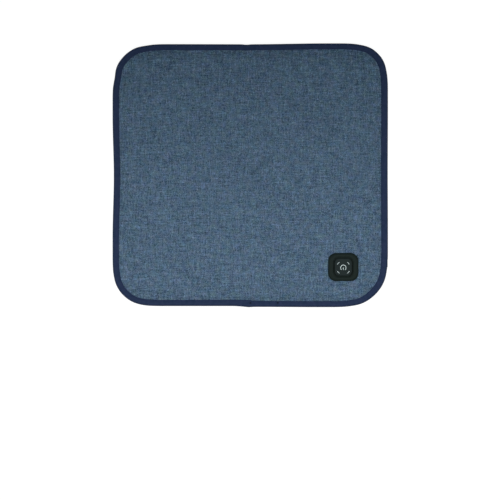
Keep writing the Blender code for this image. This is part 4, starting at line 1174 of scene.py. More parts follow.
@dataclass
class ControlUnit:
    """The bezel on the cushion's face, and the button with its sign."""

    wardrobe: Wardrobe
    bezel_corner: float = 0.0130
    bezel_height: float = 0.0045
    lip: float = 0.0006
    wall: float = 0.0012
    opening: float = 0.0330
    opening_edge: float = 0.0008
    crest_share: float = 0.62
    trench_floor: float = 0.0007
    aperture: float = 0.0230
    shoulder_share: float = 0.20
    hollow_outer_share: float = 0.42
    hollow_inner_share: float = 0.82
    flank_steps: int = 10
    roll_steps: int = 5
    corner_steps: int = 12
    boss: float = 0.0046
    boss_steps: int = 40
    pilot: float = 0.0026
    pilot_depth: float = 0.0024
    cap_corner: float = 0.0080
    cap_edge: float = 0.0009
    cap_dish: float = 0.0005
    cap_rim: float = 0.0028
    cap_face: float = 0.0012
    cap_depth: float = 0.0021
    stem: float = 0.0060
    dish_shares: tuple[float, ...] = (0.96, 0.9, 0.8, 0.68, 0.55, 0.42, 0.28, 0.14)
    sign_forward: float = 0.0011
    sign_ring: float = 0.00445
    sign_stroke: float = 0.00082
    sign_facing: float = 270.0
    sign_gap: float = 43.0
    arc_across: float = 0.0083
    arc_along: float = 0.0075
    arc_radius: float = 0.0058
    arc_half_angle: float = 24.0
    arc_stroke: float = 0.0006
    bar_top: float = 0.0004
    bar_bottom: float = -0.0034
    bar_cuts: int = 6
    end_share: float = 0.38
    end_steps: int = 5
    sign_height: float = 0.00010
    sign_lift: float = 0.00001
    sign_steps: int = 144
    moulding_edge: float = 0.00010

    def __post_init__(self) -> None:
        """Reads the unit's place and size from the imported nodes."""
        low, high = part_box("controller_bezel")
        self.middle = (low + high) / 2
        self.width, self.depth = high.x - low.x, high.y - low.y
        self.boss_bottom = low.z
        self.crest = high.z
        self.seat = self.crest - self.bezel_height
        self.trench = self.seat + self.trench_floor
        self.cap_low, self.cap_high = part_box("button_cap")
        self.sign_middle = Vector((self.middle.x, self.middle.y - self.sign_forward, self.cap_high.z + MM))

    def build(self) -> list[Object]:
        """Builds the bezel, the cap and the sign.

        Returns:
            The new pieces.
        """
        bezel = self.build_bezel()
        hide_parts("controller_bezel")
        self.wardrobe.dress(bezel, "black_moulding")
        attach(bezel, Body.RIGHT.value)
        cap = self.build_cap()
        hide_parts("button_cap")
        self.wardrobe.dress(cap, "cap_moulding")
        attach(cap, Body.BUTTON.value)
        marks = [self.build_sign_ring(), self.build_sign_arcs(), self.build_sign_bar()]
        for mark in marks:
            self.lay_on_cap(mark, cap)
            self.wardrobe.dress(mark, "sign_print", "diffuser")
            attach(mark, Body.BUTTON.value)
        return [bezel, cap, *marks]

    def bezel_ring(self, share: float, level: float) -> Ring:
        """A ring between the bezel's outline, at share 0, and its opening, at share 1."""
        width = self.width + (self.opening - self.width) * share
        return Ring(level, width, self.depth + (self.opening - self.depth) * share)

    def build_bezel(self) -> Object:
        """A moulded shell: rounded flank, wall down to the trench, floor round the aperture, hollow under it.

        Returns:
            The bezel.
        """
        lip = self.seat + self.lip
        half = Vector((self.width / 2, self.depth / 2, 0))
        corner = Vector((self.middle.x, self.middle.y, self.seat))
        piece = Workpiece.block("moulded_bezel", corner - half, corner + half + Vector((0, 0, self.lip)))
        piece.round_edges_along(Axis.Z, self.bezel_corner, self.corner_steps)
        rings = []
        for up, into in quarter(self.flank_steps):
            rings.append(self.bezel_ring(self.crest_share * into, lip + (self.crest - lip) * up))
        for up, into in quarter(self.roll_steps, 1):
            share = self.crest_share + (1 - self.crest_share) * up
            rings.append(self.bezel_ring(share, self.crest - self.opening_edge * into))
        rings.append(Ring(self.trench, self.opening, self.opening))
        rings.append(Ring(self.trench, self.aperture, self.aperture))
        piece.pick_facing((0, 0, 1))
        piece.draw_out(rings, self.middle)
        piece.delete_picked()
        piece.pick_facing((0, 0, -1))
        piece.draw_out(self.hollow_rings(lip), self.middle)
        piece.delete_picked()
        piece.bridge_openings()
        bezel = piece.done(edge=self.moulding_edge)
        screws = [name for name in frame["nodes"] if name.startswith("base_screw")]
        return join(bezel, [self.build_boss(screw) for screw in screws])

    def hollow_rings(self, lip: float) -> list[Ring]:
        """The rings of the hollow under the flank, from the seat's rim in to the aperture.

        Args:
            lip: The level at which the flank starts.

        Returns:
            The rings.
        """
        ceiling = self.crest - self.wall - self.lip
        inside = (self.width - 2 * self.wall, self.depth - 2 * self.wall)
        inner_wall = self.opening + 2 * self.wall
        return [
            Ring(self.seat, self.width, self.depth),
            Ring(self.seat, *inside),
            Ring(lip, *inside),
            self.bezel_ring(self.shoulder_share, lip + self.wall),
            self.bezel_ring(self.hollow_outer_share, ceiling),
            self.bezel_ring(self.hollow_inner_share, ceiling),
            Ring(self.seat, inner_wall, inner_wall),
            Ring(self.seat, self.aperture, self.aperture),
        ]

    def build_boss(self, screw: str) -> Object:
        """A hollow boss under the bezel's floor for one screw.

        Args:
            screw: The screw's node.

        Returns:
            The boss.
        """
        low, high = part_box(screw)
        top = self.seat + self.trench_floor / 2
        middle = ((low.x + high.x) / 2, (low.y + high.y) / 2, (self.boss_bottom + top) / 2)
        piece = Workpiece.rod("boss", middle, self.boss / 2, top - self.boss_bottom, self.boss_steps)
        piece.pick_facing((0, 0, -1))
        level = self.boss_bottom
        rings = [Ring(level, self.boss, self.boss), Ring(level, self.pilot, self.pilot)]
        rings.append(Ring(level + self.pilot_depth, self.pilot, self.pilot))
        piece.draw_out(rings, middle)
        return piece.done()

    def build_cap(self) -> Object:
        """A dished cap with a rounded rim, and under it a pocket and the stem.

        Returns:
            The cap.
        """
        size = self.cap_high.x - self.cap_low.x
        top = self.cap_high.z
        bottom = top - self.cap_depth
        low = Vector((self.cap_low.x, self.cap_low.y, bottom))
        high = Vector((self.cap_high.x, self.cap_high.y, top - self.cap_edge))
        piece = Workpiece.block("dished_cap", low, high)
        piece.round_edges_along(Axis.Z, self.cap_corner, self.corner_steps)
        rings = []
        for up, into in quarter(self.roll_steps):
            width = size - 2 * self.cap_edge * into
            rings.append(Ring(top - self.cap_edge * (1 - up), width, width))
        face = size - 2 * self.cap_edge
        for share in self.dish_shares:
            rings.append(Ring(top - self.cap_dish * (1 - share**2), face * share, face * share))
        piece.pick_facing((0, 0, 1))
        piece.draw_out(rings, self.middle)
        pocket = size - 2 * self.cap_rim
        ceiling = top - self.cap_face
        under = [
            Ring(bottom, size, size),
            Ring(bottom, pocket, pocket),
            Ring(ceiling, pocket, pocket),
            Ring(ceiling, self.stem, self.stem),
            Ring(self.cap_low.z, self.stem, self.stem),
        ]
        piece.pick_facing((0, 0, -1))
        piece.draw_out(under, self.middle)
        return piece.done()

    def build_band(
        self, name: str, middle: Vector, radius: float, stroke: float, keep: Callable[[float], bool]
    ) -> Object:
        """A flat ring, kept only where a test on the angle passes.

        Args:
            name: The piece's name.
            middle: The ring's middle.
            radius: The radius of the stroke's middle.
            stroke: The stroke's width.
            keep: Says whether the ring stays at an angle in degrees, from +X counter-clockwise.

        Returns:
            The flat band with rounded ends.
        """
        piece = Workpiece.disc(name, middle, radius + stroke / 2, self.sign_steps)
        bpy.ops.mesh.inset(thickness=stroke)
        piece.delete_picked()

        def is_dropped(face: bmesh.types.BMFace) -> bool:
            """Whether a face lies where the ring is open."""
            reach = face.calc_center_median() - middle
            return not keep(np.degrees(np.arctan2(reach.y, reach.x)) % 360)

        piece.pick("FACE", is_dropped)
        piece.delete_picked()
        self.round_ends(piece, stroke)
        return piece.done()

    def round_ends(self, piece: Workpiece, stroke: float) -> None:
        """Rounds the corners of a flat mark's ends."""
        piece.pick("VERT", lambda corner: len(corner.link_edges) == 2 and len(corner.link_faces) == 1)
        bpy.ops.mesh.bevel(offset=self.end_share * stroke, segments=self.end_steps, affect="VERTICES")

    def build_sign_ring(self) -> Object:
        """The sign's ring, open towards the front.

        Returns:
            The ring.
        """
        return self.build_band(
            "sign_ring",
            self.sign_middle,
            self.sign_ring,
            self.sign_stroke,
            lambda angle: abs(angle - self.sign_facing) > self.sign_gap,
        )

    def build_sign_arcs(self) -> Object:
        """The four short arcs, like the corners of a rounded square about the ring.

        Returns:
            The arcs, as one piece.
        """
        arcs = []
        for facing in (45.0, 135.0, 225.0, 315.0):
            way = Vector((cos(radians(facing)), sin(radians(facing)), 0.0))
            side = Vector((np.sign(way.x) * self.arc_across, np.sign(way.y) * self.arc_along, 0.0))
            middle = self.sign_middle + side - self.arc_radius * way

            def is_kept(angle: float, facing: float = facing) -> bool:
                """Whether a direction is near enough to the corner's."""
                return abs(angle - facing) < self.arc_half_angle

            arcs.append(self.build_band("sign_arcs", middle, self.arc_radius, self.arc_stroke, is_kept))
        return join(arcs[0], arcs[1:])

    def build_sign_bar(self) -> Object:
        """The sign's bar, through the ring's opening.

        Returns:
            The flat bar with rounded ends.
        """
        length = self.bar_top - self.bar_bottom
        place = self.sign_middle + Vector((0, (self.bar_top + self.bar_bottom) / 2, 0))
        bpy.ops.mesh.primitive_plane_add(size=1.0, location=place)
        bpy.context.active_object.scale = (self.sign_stroke, length, 1.0)
        piece = Workpiece("sign_bar")
        piece.pick("EDGE", lambda edge: abs(edge.verts[0].co.x - edge.verts[1].co.x) < 0.5 * self.sign_stroke)
        bpy.ops.mesh.subdivide(number_cuts=self.bar_cuts)
        self.round_ends(piece, self.sign_stroke)
        return piece.done()

    def lay_on_cap(self, mark: Object, cap: Object) -> None:
        """Lays a flat mark on the cap's dish and gives it a little height.

        Args:
            mark: The flat mark, above the cap.
            cap: The cap.
        """
        apply_modifier(
            mark,
            "SHRINKWRAP",
            target=cap,
            wrap_method="PROJECT",
            use_project_z=True,
            use_negative_direction=True,
            use_positive_direction=False,
            offset=self.sign_lift,
        )
        apply_modifier(mark, "SOLIDIFY", thickness=self.sign_height, offset=1.0)


# The soft layers


@dataclass(frozen=True)
class FoldMarks:
    """What folding has left in the front and rear edge.

    The front edge bulges and the rear one lies in. The front tape has dimples, each given by its place along
    the edge and its depth. At both ends there is a shallow crease where the tape's end is turned under. The
    layers underneath give way over a wider reach, so that none shows through the tape.
    """

    bulge: float = 0.0005
    dip: float = 0.0007
    bulge_x: float = -0.0027
    dip_x: float = -0.0060
    reach: float = 0.0060
    edge_from: float = 0.20
    edge_ramp: float = 0.01
    marks_from: float = 0.195
    dimples: Pairs = ((0.0001, 0.0021), (0.0447, 0.0011))
    dimple_inset: float = 0.0068
    dimple_length: float = 0.0017
    dimple_width: float = 0.0013
    crease: float = 0.0004
    crease_x: float = 0.0025
    crease_reach: float = 0.0012
    room_reach: float = 0.0050
    room_factor: float = 1.1
    room_end: float = 0.0115
    room_ramp: float = 0.002

    def outwards(self, x: float, y: float) -> float:
        """How far the edge is moved along Y at a place."""
        size, middle = (self.bulge, self.bulge_x) if y < 0 else (self.dip, self.dip_x)
        return -size * clipped((abs(y) - self.edge_from) / self.edge_ramp) * bell(x - middle, self.reach)

    def sink(self, x: float, y: float, crease_reach: float, dimple_reach: float, factor: float) -> float:
        """How deep the crease and the dimples are.

        Args:
            x: The place from left to right.
            y: The place from front to rear.
            crease_reach: How far the crease reaches along the edge.
            dimple_reach: How far a dimple reaches along the edge.
            factor: How much of the dimples' depth there is.

        Returns:
            The depth.
        """
        if abs(y) < self.marks_from:
            return 0.0
        sink = self.crease * bell(x - self.crease_x, crease_reach)
        for place, depth in self.dimples if y < 0 else ():
            sink += factor * depth * bell(x - place, dimple_reach)
        return sink

    def depth(self, x: float, y: float, inset: float) -> float:
        """How deep the tape's upper face is pressed in at a place."""
        across = bell(inset - self.dimple_inset, self.dimple_width)
        return self.sink(x, y, self.crease_reach, self.dimple_length, across)

    def room(self, x: float, y: float, inset: float) -> float:
        """How far the layers under the tape give way at a place."""
        sink = self.sink(x, y, self.room_reach, self.room_reach, self.room_factor)
        return sink * clipped((self.room_end - inset) / self.room_ramp)


@dataclass
class SoftLayers:
    """The two covers and the layers between them, each in one piece across the fold."""

    wardrobe: Wardrobe
    unit: ControlUnit
    outline: Outline = Outline()
    crown: Crown = Crown()
    marks: FoldMarks = FoldMarks()
    fold_reach: float = 0.016
    cloth: float = 0.0008
    clearance: float = 0.0003
    cover_inset: float = 0.003
    cover_across: int = 112
    cover_along: int = 108
    cover_area: float = 0.185
    grip_across: int = 108
    grip_along: int = 104
    layer_across: int = 56
    layer_along: int = 54
    layer_area_share: float = 0.97
    opening_height: float = 0.009
    window_width: float = 0.0362
    window_depth: float = 0.0328
    pucker_height: float = 0.00028
    pucker_length: float = 0.0085
    pucker_reach: float = 0.010
    pucker_ramp: float = 0.004
    pucker_end: float = 0.040
    pressure: float = 0.35
    hold: float = 0.35
    growth: float = 0.004
    steps: int = 18
    most: float = 0.0011
    underside_ramp: float = 0.0022
    seam_bottom: float = 0.0012
    dot: float = 0.0022
    dot_height: float = 0.00035
    dot_sides: int = 10
    dot_waist: float = 0.92
    dot_tip: float = 0.5
    dot_pitch: float = 0.0105
    dots_edge_steps: int = 200
    dots_inset: float = 0.017
    dot_sink: float = 0.0001
    wadding_inset: float = 0.006
    wadding_floor: Pairs = (
        (0.0098, 0.0022), (0.0137, 0.0049), (0.0167, 0.0054), (0.0197, 0.0062), (0.0267, 0.0079)
    )
    wadding_thinnest: float = 0.0001
    loft_depth: float = 0.0003
    loft_size: float = 0.02

    def build(self) -> list[Object]:
        """Builds every soft layer.

        Returns:
            The new pieces.
        """
        pieces = [self.build_top_cover(), self.build_bottom_cover(), self.build_grip_dots()]
        pieces += [self.build_wadding(), *self.build_flat_layers()]
        return pieces

    def across_fold(self, obj: Object) -> Object:
        """Bakes a piece's placement into its mesh."""
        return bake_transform(obj)

    def hole_cells(self, grid: Grid) -> tuple[np.ndarray, np.ndarray]:
        """Opens a rectangular window for the control unit in a grid.

        The points nearest the window's edges are moved onto them.

        Args:
            grid: The grid, whose places are changed.

        Returns:
            Which squares are open, and each point's distance from the unit's middle in window halves.
        """
        middle = np.array(self.unit.middle[:2])
        half = np.array([self.window_width, self.window_depth]) / 2
        halves = (grid.places - middle) / half
        centres = (halves[:-1, :-1] + halves[1:, :-1] + halves[1:, 1:] + halves[:-1, 1:]) / 4
        is_open = np.abs(centres).max(axis=2) < 1
        touches_open = np.zeros(grid.insets.shape, bool)
        touches_shut = np.zeros(grid.insets.shape, bool)
        for right in (0, 1):
            for rear in (0, 1):
                block = (slice(right, right + is_open.shape[0]), slice(rear, rear + is_open.shape[1]))
                touches_open[block] |= is_open
                touches_shut[block] |= ~is_open
        rim = touches_open & touches_shut
        sideways = np.abs(halves[..., 0]) > np.abs(halves[..., 1])
        for axis, chosen in enumerate((rim & sideways, rim & ~sideways)):
            grid.places[..., axis][chosen] = middle[axis] + np.sign(halves[..., axis][chosen]) * half[axis]
        return is_open, np.abs(halves).max(axis=2)

    def build_top_cover(self) -> Object:
        """The woven cover, cut to the outline, clamped under the bezel and swelled a little.

        Returns:
            The cover.
        """
        grid = pad_grid(self.outline, self.cover_inset, self.cover_across, self.cover_along)
        is_open, from_unit = self.hole_cells(grid)
        cloth = grid.places.reshape(-1, 2).copy()
        levels = self.crown.level(grid.insets) + grid.heights(self.pucker) - grid.heights(self.room_at)
        points = np.concatenate([grid.places, levels[..., None]], axis=2).reshape(-1, 3)
        faces = [face for face, hole in zip(grid.faces(), is_open.ravel()) if not hole]
        cover = add_mesh("woven_cover", points, faces, cloth)
        bezel_edge = max(self.unit.width / self.window_width, self.unit.depth / self.window_depth)
        held = (grid.insets <= self.crown.rise + MM) | (from_unit <= bezel_edge)
        self.swell(cover, held.ravel())
        self.drop_loose(cover)
        apply_modifier(cover, "SUBSURF", levels=1, render_levels=1)
        apply_modifier(cover, "SOLIDIFY", thickness=self.cloth, offset=-1.0)
        choose(cover)
        bpy.ops.object.shade_smooth_by_angle(angle=radians(SMOOTH))
        self.wardrobe.dress(cover, "melange_cloth")
        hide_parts("top_cover_right", "top_cover_left")
        return self.across_fold(cover)

    def room_at(self, place: np.ndarray, inset: float) -> float:
        """How far a layer gives way under the fold's marks."""
        return self.marks.room(*place, inset)

    def pucker(self, place: np.ndarray, inset: float) -> float:
        """How far the seam's stitches draw the cloth up or down beside the tape.

        Args:
            place: Where on the pad.
            inset: How far in from the outline it lies.

        Returns:
            The height.
        """
        past = inset - self.crown.rise
        if not 0 < past < self.pucker_end:
            return 0.0
        x, y = place / self.pucker_length
        fading = exp(-past / self.pucker_reach) * min(past / self.pucker_ramp, 1.0)
        return self.pucker_height * fading * 2 * noise.noise(Vector((x, y, 0.0)))

    def swell(self, cover: Object, held: np.ndarray) -> None:
        """Swells the cover a little by a cloth simulation, with the wadding holding it up.

        Args:
            cover: The cover, as a single layer.
            held: Which of its points are sewn or clamped.
        """
        rest = np.array([v.co for v in cover.data.vertices])
        group = cover.vertex_groups.new(name="held")
        for number, is_held in enumerate(held):
            group.add([number], 1.0 if is_held else self.hold, "REPLACE")
        choose(cover)
        cloth = cover.modifiers.new("Cloth", "CLOTH")
        cloth.settings.quality = 6
        cloth.settings.mass = 0.2
        cloth.settings.tension_stiffness = 20
        cloth.settings.compression_stiffness = 20
        cloth.settings.shear_stiffness = 8
        cloth.settings.bending_stiffness = 0.4
        cloth.settings.vertex_group_mass = "held"
        cloth.settings.pin_stiffness = 0.6
        cloth.settings.shrink_min = -self.growth
        cloth.settings.use_pressure = True
        cloth.settings.uniform_pressure_force = self.pressure
        cloth.settings.effector_weights.gravity = 0.0
        for step in range(1, self.steps + 1):
            bpy.context.scene.frame_set(step)
        bpy.ops.object.modifier_apply(modifier=cloth.name)
        bpy.context.scene.frame_set(1)
        moved = np.array([v.co for v in cover.data.vertices]) - rest
        length = np.linalg.norm(moved, axis=1, keepdims=True)
        capped = rest + moved * np.minimum(1.0, self.most / np.maximum(length, 1e-9))
        cover.data.vertices.foreach_set("co", capped.astype(np.float32).ravel())
        cover.data.update()
        LOG.info("the cover moved %.2f mm at most, %.2f mm on average", length.max() / MM, length.mean() / MM)

    def drop_loose(self, obj: Object) -> None:
        """Deletes the points that no face uses.

        Args:
            obj: The piece.
        """
        choose(obj)
        bpy.ops.object.mode_set(mode="EDIT")
        bpy.ops.mesh.select_all(action="SELECT")
        bpy.ops.mesh.delete_loose()
        bpy.ops.object.mode_set(mode="OBJECT")

    def layer_shell(self, name: str, grid: Grid, lower: np.ndarray, upper: np.ndarray) -> Object:
        """A closed layer between two surfaces.

        Args:
            name: The layer's name.
            grid: The places on which it lies.
            lower: The lower face's height at each place.
            upper: The upper face's height at each place.

        Returns:
            The layer.
        """
        flat = grid.places.reshape(-1, 2)
        points = np.vstack([np.hstack([flat, heights.ravel()[:, None]]) for heights in (lower, upper)])
        count = len(flat)
        squares = grid.faces()
        faces = [tuple(count + n for n in face) for face in squares]
        faces += [face[::-1] for face in squares]
        rim = rim_numbers(*grid.insets.shape)
        faces += [(a, b, count + b, count + a) for a, b in zip(rim, [*rim[1:], rim[0]])]
        return add_mesh(name, points, faces, np.vstack([flat, flat]))

    def open_for(self, layer: Object, node: str, margin: float = 0.0) -> None:
        """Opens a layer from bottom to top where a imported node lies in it.

        Args:
            layer: The layer.
            node: The node.
            margin: How much wider the opening is than the usual clearance.
        """
        low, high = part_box(node)
        side = 2 * self.clearance + margin
        top = high.z + self.opening_height
        cut_away(layer, (low.x - side, low.y - side, -MM), (high.x + side, high.y + side, top))

    def build_bottom_cover(self) -> Object:
        """The knitted underside, which rises to the seam near its edge and leaves room for the inlet.

        Returns:
            The cover.
        """
        grid = pad_grid(self.outline, self.cover_inset, self.grip_across, self.grip_along)
        share = np.clip((grid.insets - self.crown.rise) / self.underside_ramp, 0, 1)
        upper = self.cloth + self.seam_bottom * (1 - share)
        thickness = self.cloth - self.dot_height + self.dot_sink
        cover = self.layer_shell("knitted_underside", grid, upper - thickness, upper)
        self.open_for(cover, "inlet_housing")
        self.wardrobe.dress(cover, "grip_cloth")
        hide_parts("bottom_cover_right", "bottom_cover_left")
        return self.across_fold(cover)

    def build_grip_dots(self) -> Object:
        """Small rubber dots in staggered rows, on which the cushion stands.

        Returns:
            The dots, as one piece.
        """
        level = self.dot_height + self.dot_sink
        piece = Workpiece.disc("dot", (0, 0, level), self.dot / 2, self.dot_sides)
        waist, tip = self.dot_waist * self.dot, self.dot_tip * self.dot
        rings = [Ring(level, self.dot, self.dot), Ring(level / 2, waist, waist), Ring(0, tip, tip)]
        piece.draw_out(rings, (0, 0, 0))
        template = piece.done()
        places = []
        reach_x = self.outline.width / 2 - self.dots_inset
        reach_y = self.outline.depth / 2 - self.dots_inset
        edge = self.outline.loop(self.dots_inset, self.dots_edge_steps)
        rows = floor(reach_y / self.dot_pitch)
        columns = floor(reach_x / self.dot_pitch)
        for row in range(-rows, rows + 1):
            for column in range(-columns, columns + 1):
                x = (column + 0.5 * (row % 2)) * self.dot_pitch
                y = row * self.dot_pitch
                if is_inside(x, y, edge):
                    places.append(Matrix.Translation((x, y, 0)))
        dots = copies("grip_dots", template, places)
        self.wardrobe.dress(dots, "grip_dot", "grip_cloth")
        return self.across_fold(dots)

    def build_wadding(self) -> Object:
        """Loose fibre wadding that fills the crown and is pinched thin in the seam.

        Returns:
            The wadding.
        """
        insets, levels = zip(*self.wadding_floor)
        grid = pad_grid(self.outline, self.wadding_inset, self.layer_across, self.layer_along)
        lower = np.interp(grid.insets, insets, levels)
        upper = self.crown.level(grid.insets) - self.cloth - self.clearance
        upper = upper - grid.heights(self.loft) - grid.heights(self.room_at)
        upper = np.maximum(upper, lower + self.wadding_thinnest)
        wadding = self.layer_shell("quilt_wadding", grid, lower, upper)
        self.open_for(wadding, "controller_base")
        self.open_for(wadding, "inlet_housing")
        self.wardrobe.dress(wadding, "wadding")
        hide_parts("wadding_right", "wadding_left")
        return self.across_fold(wadding)

    def loft(self, place: np.ndarray, _: float) -> float:
        """How far the fibre has sunk at a place, from nothing to its full depth."""
        x, y = place / self.loft_size
        return self.loft_depth * (0.5 + 0.5 * noise.noise(Vector((x, y, 3.0))))

    def build_flat_layers(self) -> list[Object]:
        """The foam, the reflective foil and the felt that carries the heater.

        Returns:
            The layers, from below.
        """
        layers = []
        for name, node, inset in (
            ("foam_sheet", "foam", 0.014),
            ("foil_sheet", "reflective_foil", 0.017),
            ("felt_sheet", "carrier_felt", 0.020),
        ):
            low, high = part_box(f"{node}_right")
            grid = pad_grid(self.outline, inset, self.layer_across, self.layer_along)
            lower, upper = (np.full(grid.insets.shape, level) for level in (low.z, high.z))
            layer = self.layer_shell(name, grid, lower, upper)
            if node != "foam":
                self.open_for(layer, "circuit_board", 2 * MM)
                self.open_for(layer, "thermal_cutout")
            slot = node.split("_")[-1]
            self.wardrobe.dress(layer, slot)
            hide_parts(f"{node}_right", f"{node}_left")
            layers.append(self.across_fold(layer))
        return layers


def rim_numbers(across: int, along: int) -> list[int]:
    """The numbers of a grid's outermost points in order, counter-clockwise from above.

    Args:
        across: How many points from left to right.
        along: How many points from front to rear.

    Returns:
        The numbers.
    """
    number = np.arange(across * along).reshape(across, along)
    rim = [number[:-1, 0], number[-1, :-1], number[:0:-1, -1], number[0, :0:-1]]
    return [int(n) for n in np.concatenate(rim)]


def is_inside(x: float, y: float, edge: np.ndarray) -> bool:
    """Whether a point lies inside a closed line.

    Args:
        x: The point's place from left to right.
        y: Its place from front to rear.
        edge: The line's points.

    Returns:
        Whether it does.
    """
    after = np.roll(edge, -1, axis=0)
    crosses = (edge[:, 1] > y) != (after[:, 1] > y)
    rise = np.where(crosses, after[:, 1] - edge[:, 1], 1.0)
    at = edge[:, 0] + (y - edge[:, 1]) * (after[:, 0] - edge[:, 0]) / rise
    return bool(np.count_nonzero(crosses & (x < at)) % 2)


# The taped edge


@dataclass
class TapedEdge:
    """The folded tape round the seam, the stitches that hold it and the tacks in its dimples, whose
    near-black thread is painted shade in the dimples.
    """

    wardrobe: Wardrobe
    layers: SoftLayers
    height: float = 0.0064
    tape: float = 0.0008
    upper_rim: Pairs = ((1.0, 0.35), (0.985, 0.08))
    face_shares: tuple[float, ...] = (0.93, 0.84, 0.76, 0.68, 0.6, 0.52, 0.42)
    lower_rim: Pairs = ((1.0, 0.3), (1.0, 0.8), (0.7, 1.0))
    inner_rim: Pairs = ((0.7, 1.0), (1.0, 0.8))
    rear_width: float = 0.0100
    left_width: float = 0.0107
    right_width: float = 0.0111
    front_left_width: float = 0.0103
    front_right_width: float = 0.0100
    lap_width: float = 0.0011
    lap_end: float = 0.0025
    lap_ramp: float = 0.003
    lap_from: float = -0.008
    lap_fade: float = 0.018
    corner_x: float = 0.215
    corner_reach: float = 0.045
    flat_width: float = 0.0275
    sole_lift: float = 0.00025
    stitch_length: float = 0.0024
    stitch_inset: float = 0.0016
    stitch_sides: int = 6
    thread: float = 0.00034
    tack_stitches: int = 6
    tack_length: float = 0.0022
    tack_lift: float = 0.0002
    tack_pitch: float = 1.1
    tack_sides: int = 8
    tack_round: float = 0.4
    stitches: int = 488
    samples_per_stitch: int = 4
    turn_steps: int = 12
    inner_turn_steps: int = 8
    wave: float = 0.00030
    wave_length: float = 0.013
    draw: float = 0.00010
    draw_from: float = 0.4
    stitch_lift: float = 0.3
    under_lift: float = 1.6
    smooth_angle: float = 70.0
    thread_smooth_angle: float = 80.0

    def build(self) -> list[Object]:
        """Builds the tape, its stitches and its tacks, whose near-black thread paints the shade in the
        dimples.
        """
        return [self.build_tape(), self.build_stitches(), self.build_dimple_shade_tacks()]

    def section(self) -> list[tuple[float, float, float]]:
        """The tape's cross-section, from its upper edge round the outside and back.

        The points of a rim are given by their share of the tape's width and their depth in its thicknesses.

        Returns:
            Each point's share of the tape's width, its inset by the round back, and its level.
        """
        middle = self.height / 2
        inner = middle - self.tape
        section = [(share, 0.0, self.height - depth * self.tape) for share, depth in self.upper_rim]
        section += [(share, 0.0, self.height) for share in self.face_shares]
        for step in range(self.turn_steps + 1):
            angle = pi * step / self.turn_steps
            section.append((0.0, middle - middle * sin(angle), middle + middle * cos(angle)))
        section += [(share, 0.0, self.sole_lift) for share in self.face_shares[::-1]]
        section += [(share, 0.0, depth * self.tape + self.sole_lift) for share, depth in self.lower_rim]
        for step in range(self.inner_turn_steps, -1, -1):
            angle = pi * step / self.inner_turn_steps
            section.append((0.0, middle - inner * sin(angle), middle + inner * cos(angle)))
        section += [(share, 0.0, self.height - depth * self.tape) for share, depth in self.inner_rim]
        return section

    def edge(self) -> np.ndarray:
        """The outline in even steps, a whole number of them to each stitch."""
        return self.layers.outline.loop(0.0, self.stitches * self.samples_per_stitch)

    def waver(self, place: np.ndarray) -> float:
        """How far the tape's inner edge strays at a place on the outline."""
        return self.wave * noise.noise(Vector((*(place / self.wave_length), 0.5)))

    def limb(self, x: float, y: float) -> float:
        """How wide the tape lies on the cover: widest where it laps at the fold.

        Args:
            x: The place on the outline, from left to right.
            y: The place from front to rear.

        Returns:
            The width.
        """
        left = clipped(0.5 - (x - self.lap_end) / self.lap_ramp)
        beside = self.right_width + (self.left_width - self.right_width) * left
        lapped = self.front_left_width + self.lap_width * fall((self.lap_from - x) / self.lap_fade)
        front = self.front_right_width + (lapped - self.front_right_width) * left
        end = front if y < 0 else self.rear_width
        return float(end + (beside - end) * fall((self.corner_x - abs(x)) / self.corner_reach))

    def build_tape(self) -> Object:
        """The tape, drawn along the outline and pinched at the fold.

        Returns:
            The tape.
        """
        section = self.section()
        base = self.edge()
        steps = np.linalg.norm(np.roll(base, -1, axis=0) - base, axis=1)
        arc = np.concatenate([[0.0], np.cumsum(steps)[:-1]])
        inward = inward_ways(base)
        points = np.zeros((len(base), len(section), 3))
        across = self.section_lengths(section)
        for number, (place, way) in enumerate(zip(base, inward)):
            limb = self.limb(*place)
            waver = self.waver(place)
            drawn = cos(2 * pi * number / self.samples_per_stitch)
            for index, (share, turn, level) in enumerate(section):
                inset = share * limb + (turn if share == 0 else 0.0) + waver * share
                x, y = place + way * inset
                points[number, index] = self.pinch(x, y, self.seat(inset, level, share, drawn), inset)
        cloth = np.stack(np.broadcast_arrays(arc[:, None], across[None, :]), axis=2)
        tape = self.skin(points, cloth)
        low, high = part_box("inlet_housing")
        side = self.layers.clearance
        cut_away(tape, (low.x - MM, low.y - side, -MM), (high.x + 2 * MM, high.y + side, high.z + side))
        self.wardrobe.dress(tape, "navy_tape")
        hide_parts("edge_binding_right", "edge_binding_left")
        return self.layers.across_fold(tape)

    def section_lengths(self, section: Sequence[tuple[float, float, float]]) -> np.ndarray:
        """How far along the section each of its points lies."""
        flat = np.array([(share * self.rear_width + turn, level) for share, turn, level in section])
        return np.concatenate([[0.0], np.cumsum(np.linalg.norm(np.diff(flat, axis=0), axis=1))])

    def seat(self, inset: float, level: float, share: float, drawn: float) -> float:
        """A point's level once the tape lies on the cover and the stitches draw it down.

        Args:
            inset: How far in from the outline the point lies.
            level: Its level in the plain section.
            share: Its share of the tape's width.
            drawn: Where it is between two stitches, from 1 at a stitch's end to -1 at its middle.

        Returns:
            The new level.
        """
        if level <= self.height / 2:
            return level
        crown = self.layers.crown
        lifted = level + max(float(crown.level(np.array(inset))) - crown.seam, 0.0)
        return lifted - self.draw * (1 + drawn) * max(share - self.draw_from, 0.0)

    def pinch(self, x: float, y: float, level: float, inset: float) -> tuple[float, float, float]:
        """Where a point of the edge lies once the fold has left its marks there.

        Args:
            x: The point's place from left to right.
            y: Its place from front to rear.
            level: Its level.
            inset: How far in from the outline it lies.

        Returns:
            The new place.
        """
        marks = self.layers.marks
        sunk = level - marks.depth(x, y, inset) * clipped(level / self.height)
        return x, y + marks.outwards(x, y), sunk

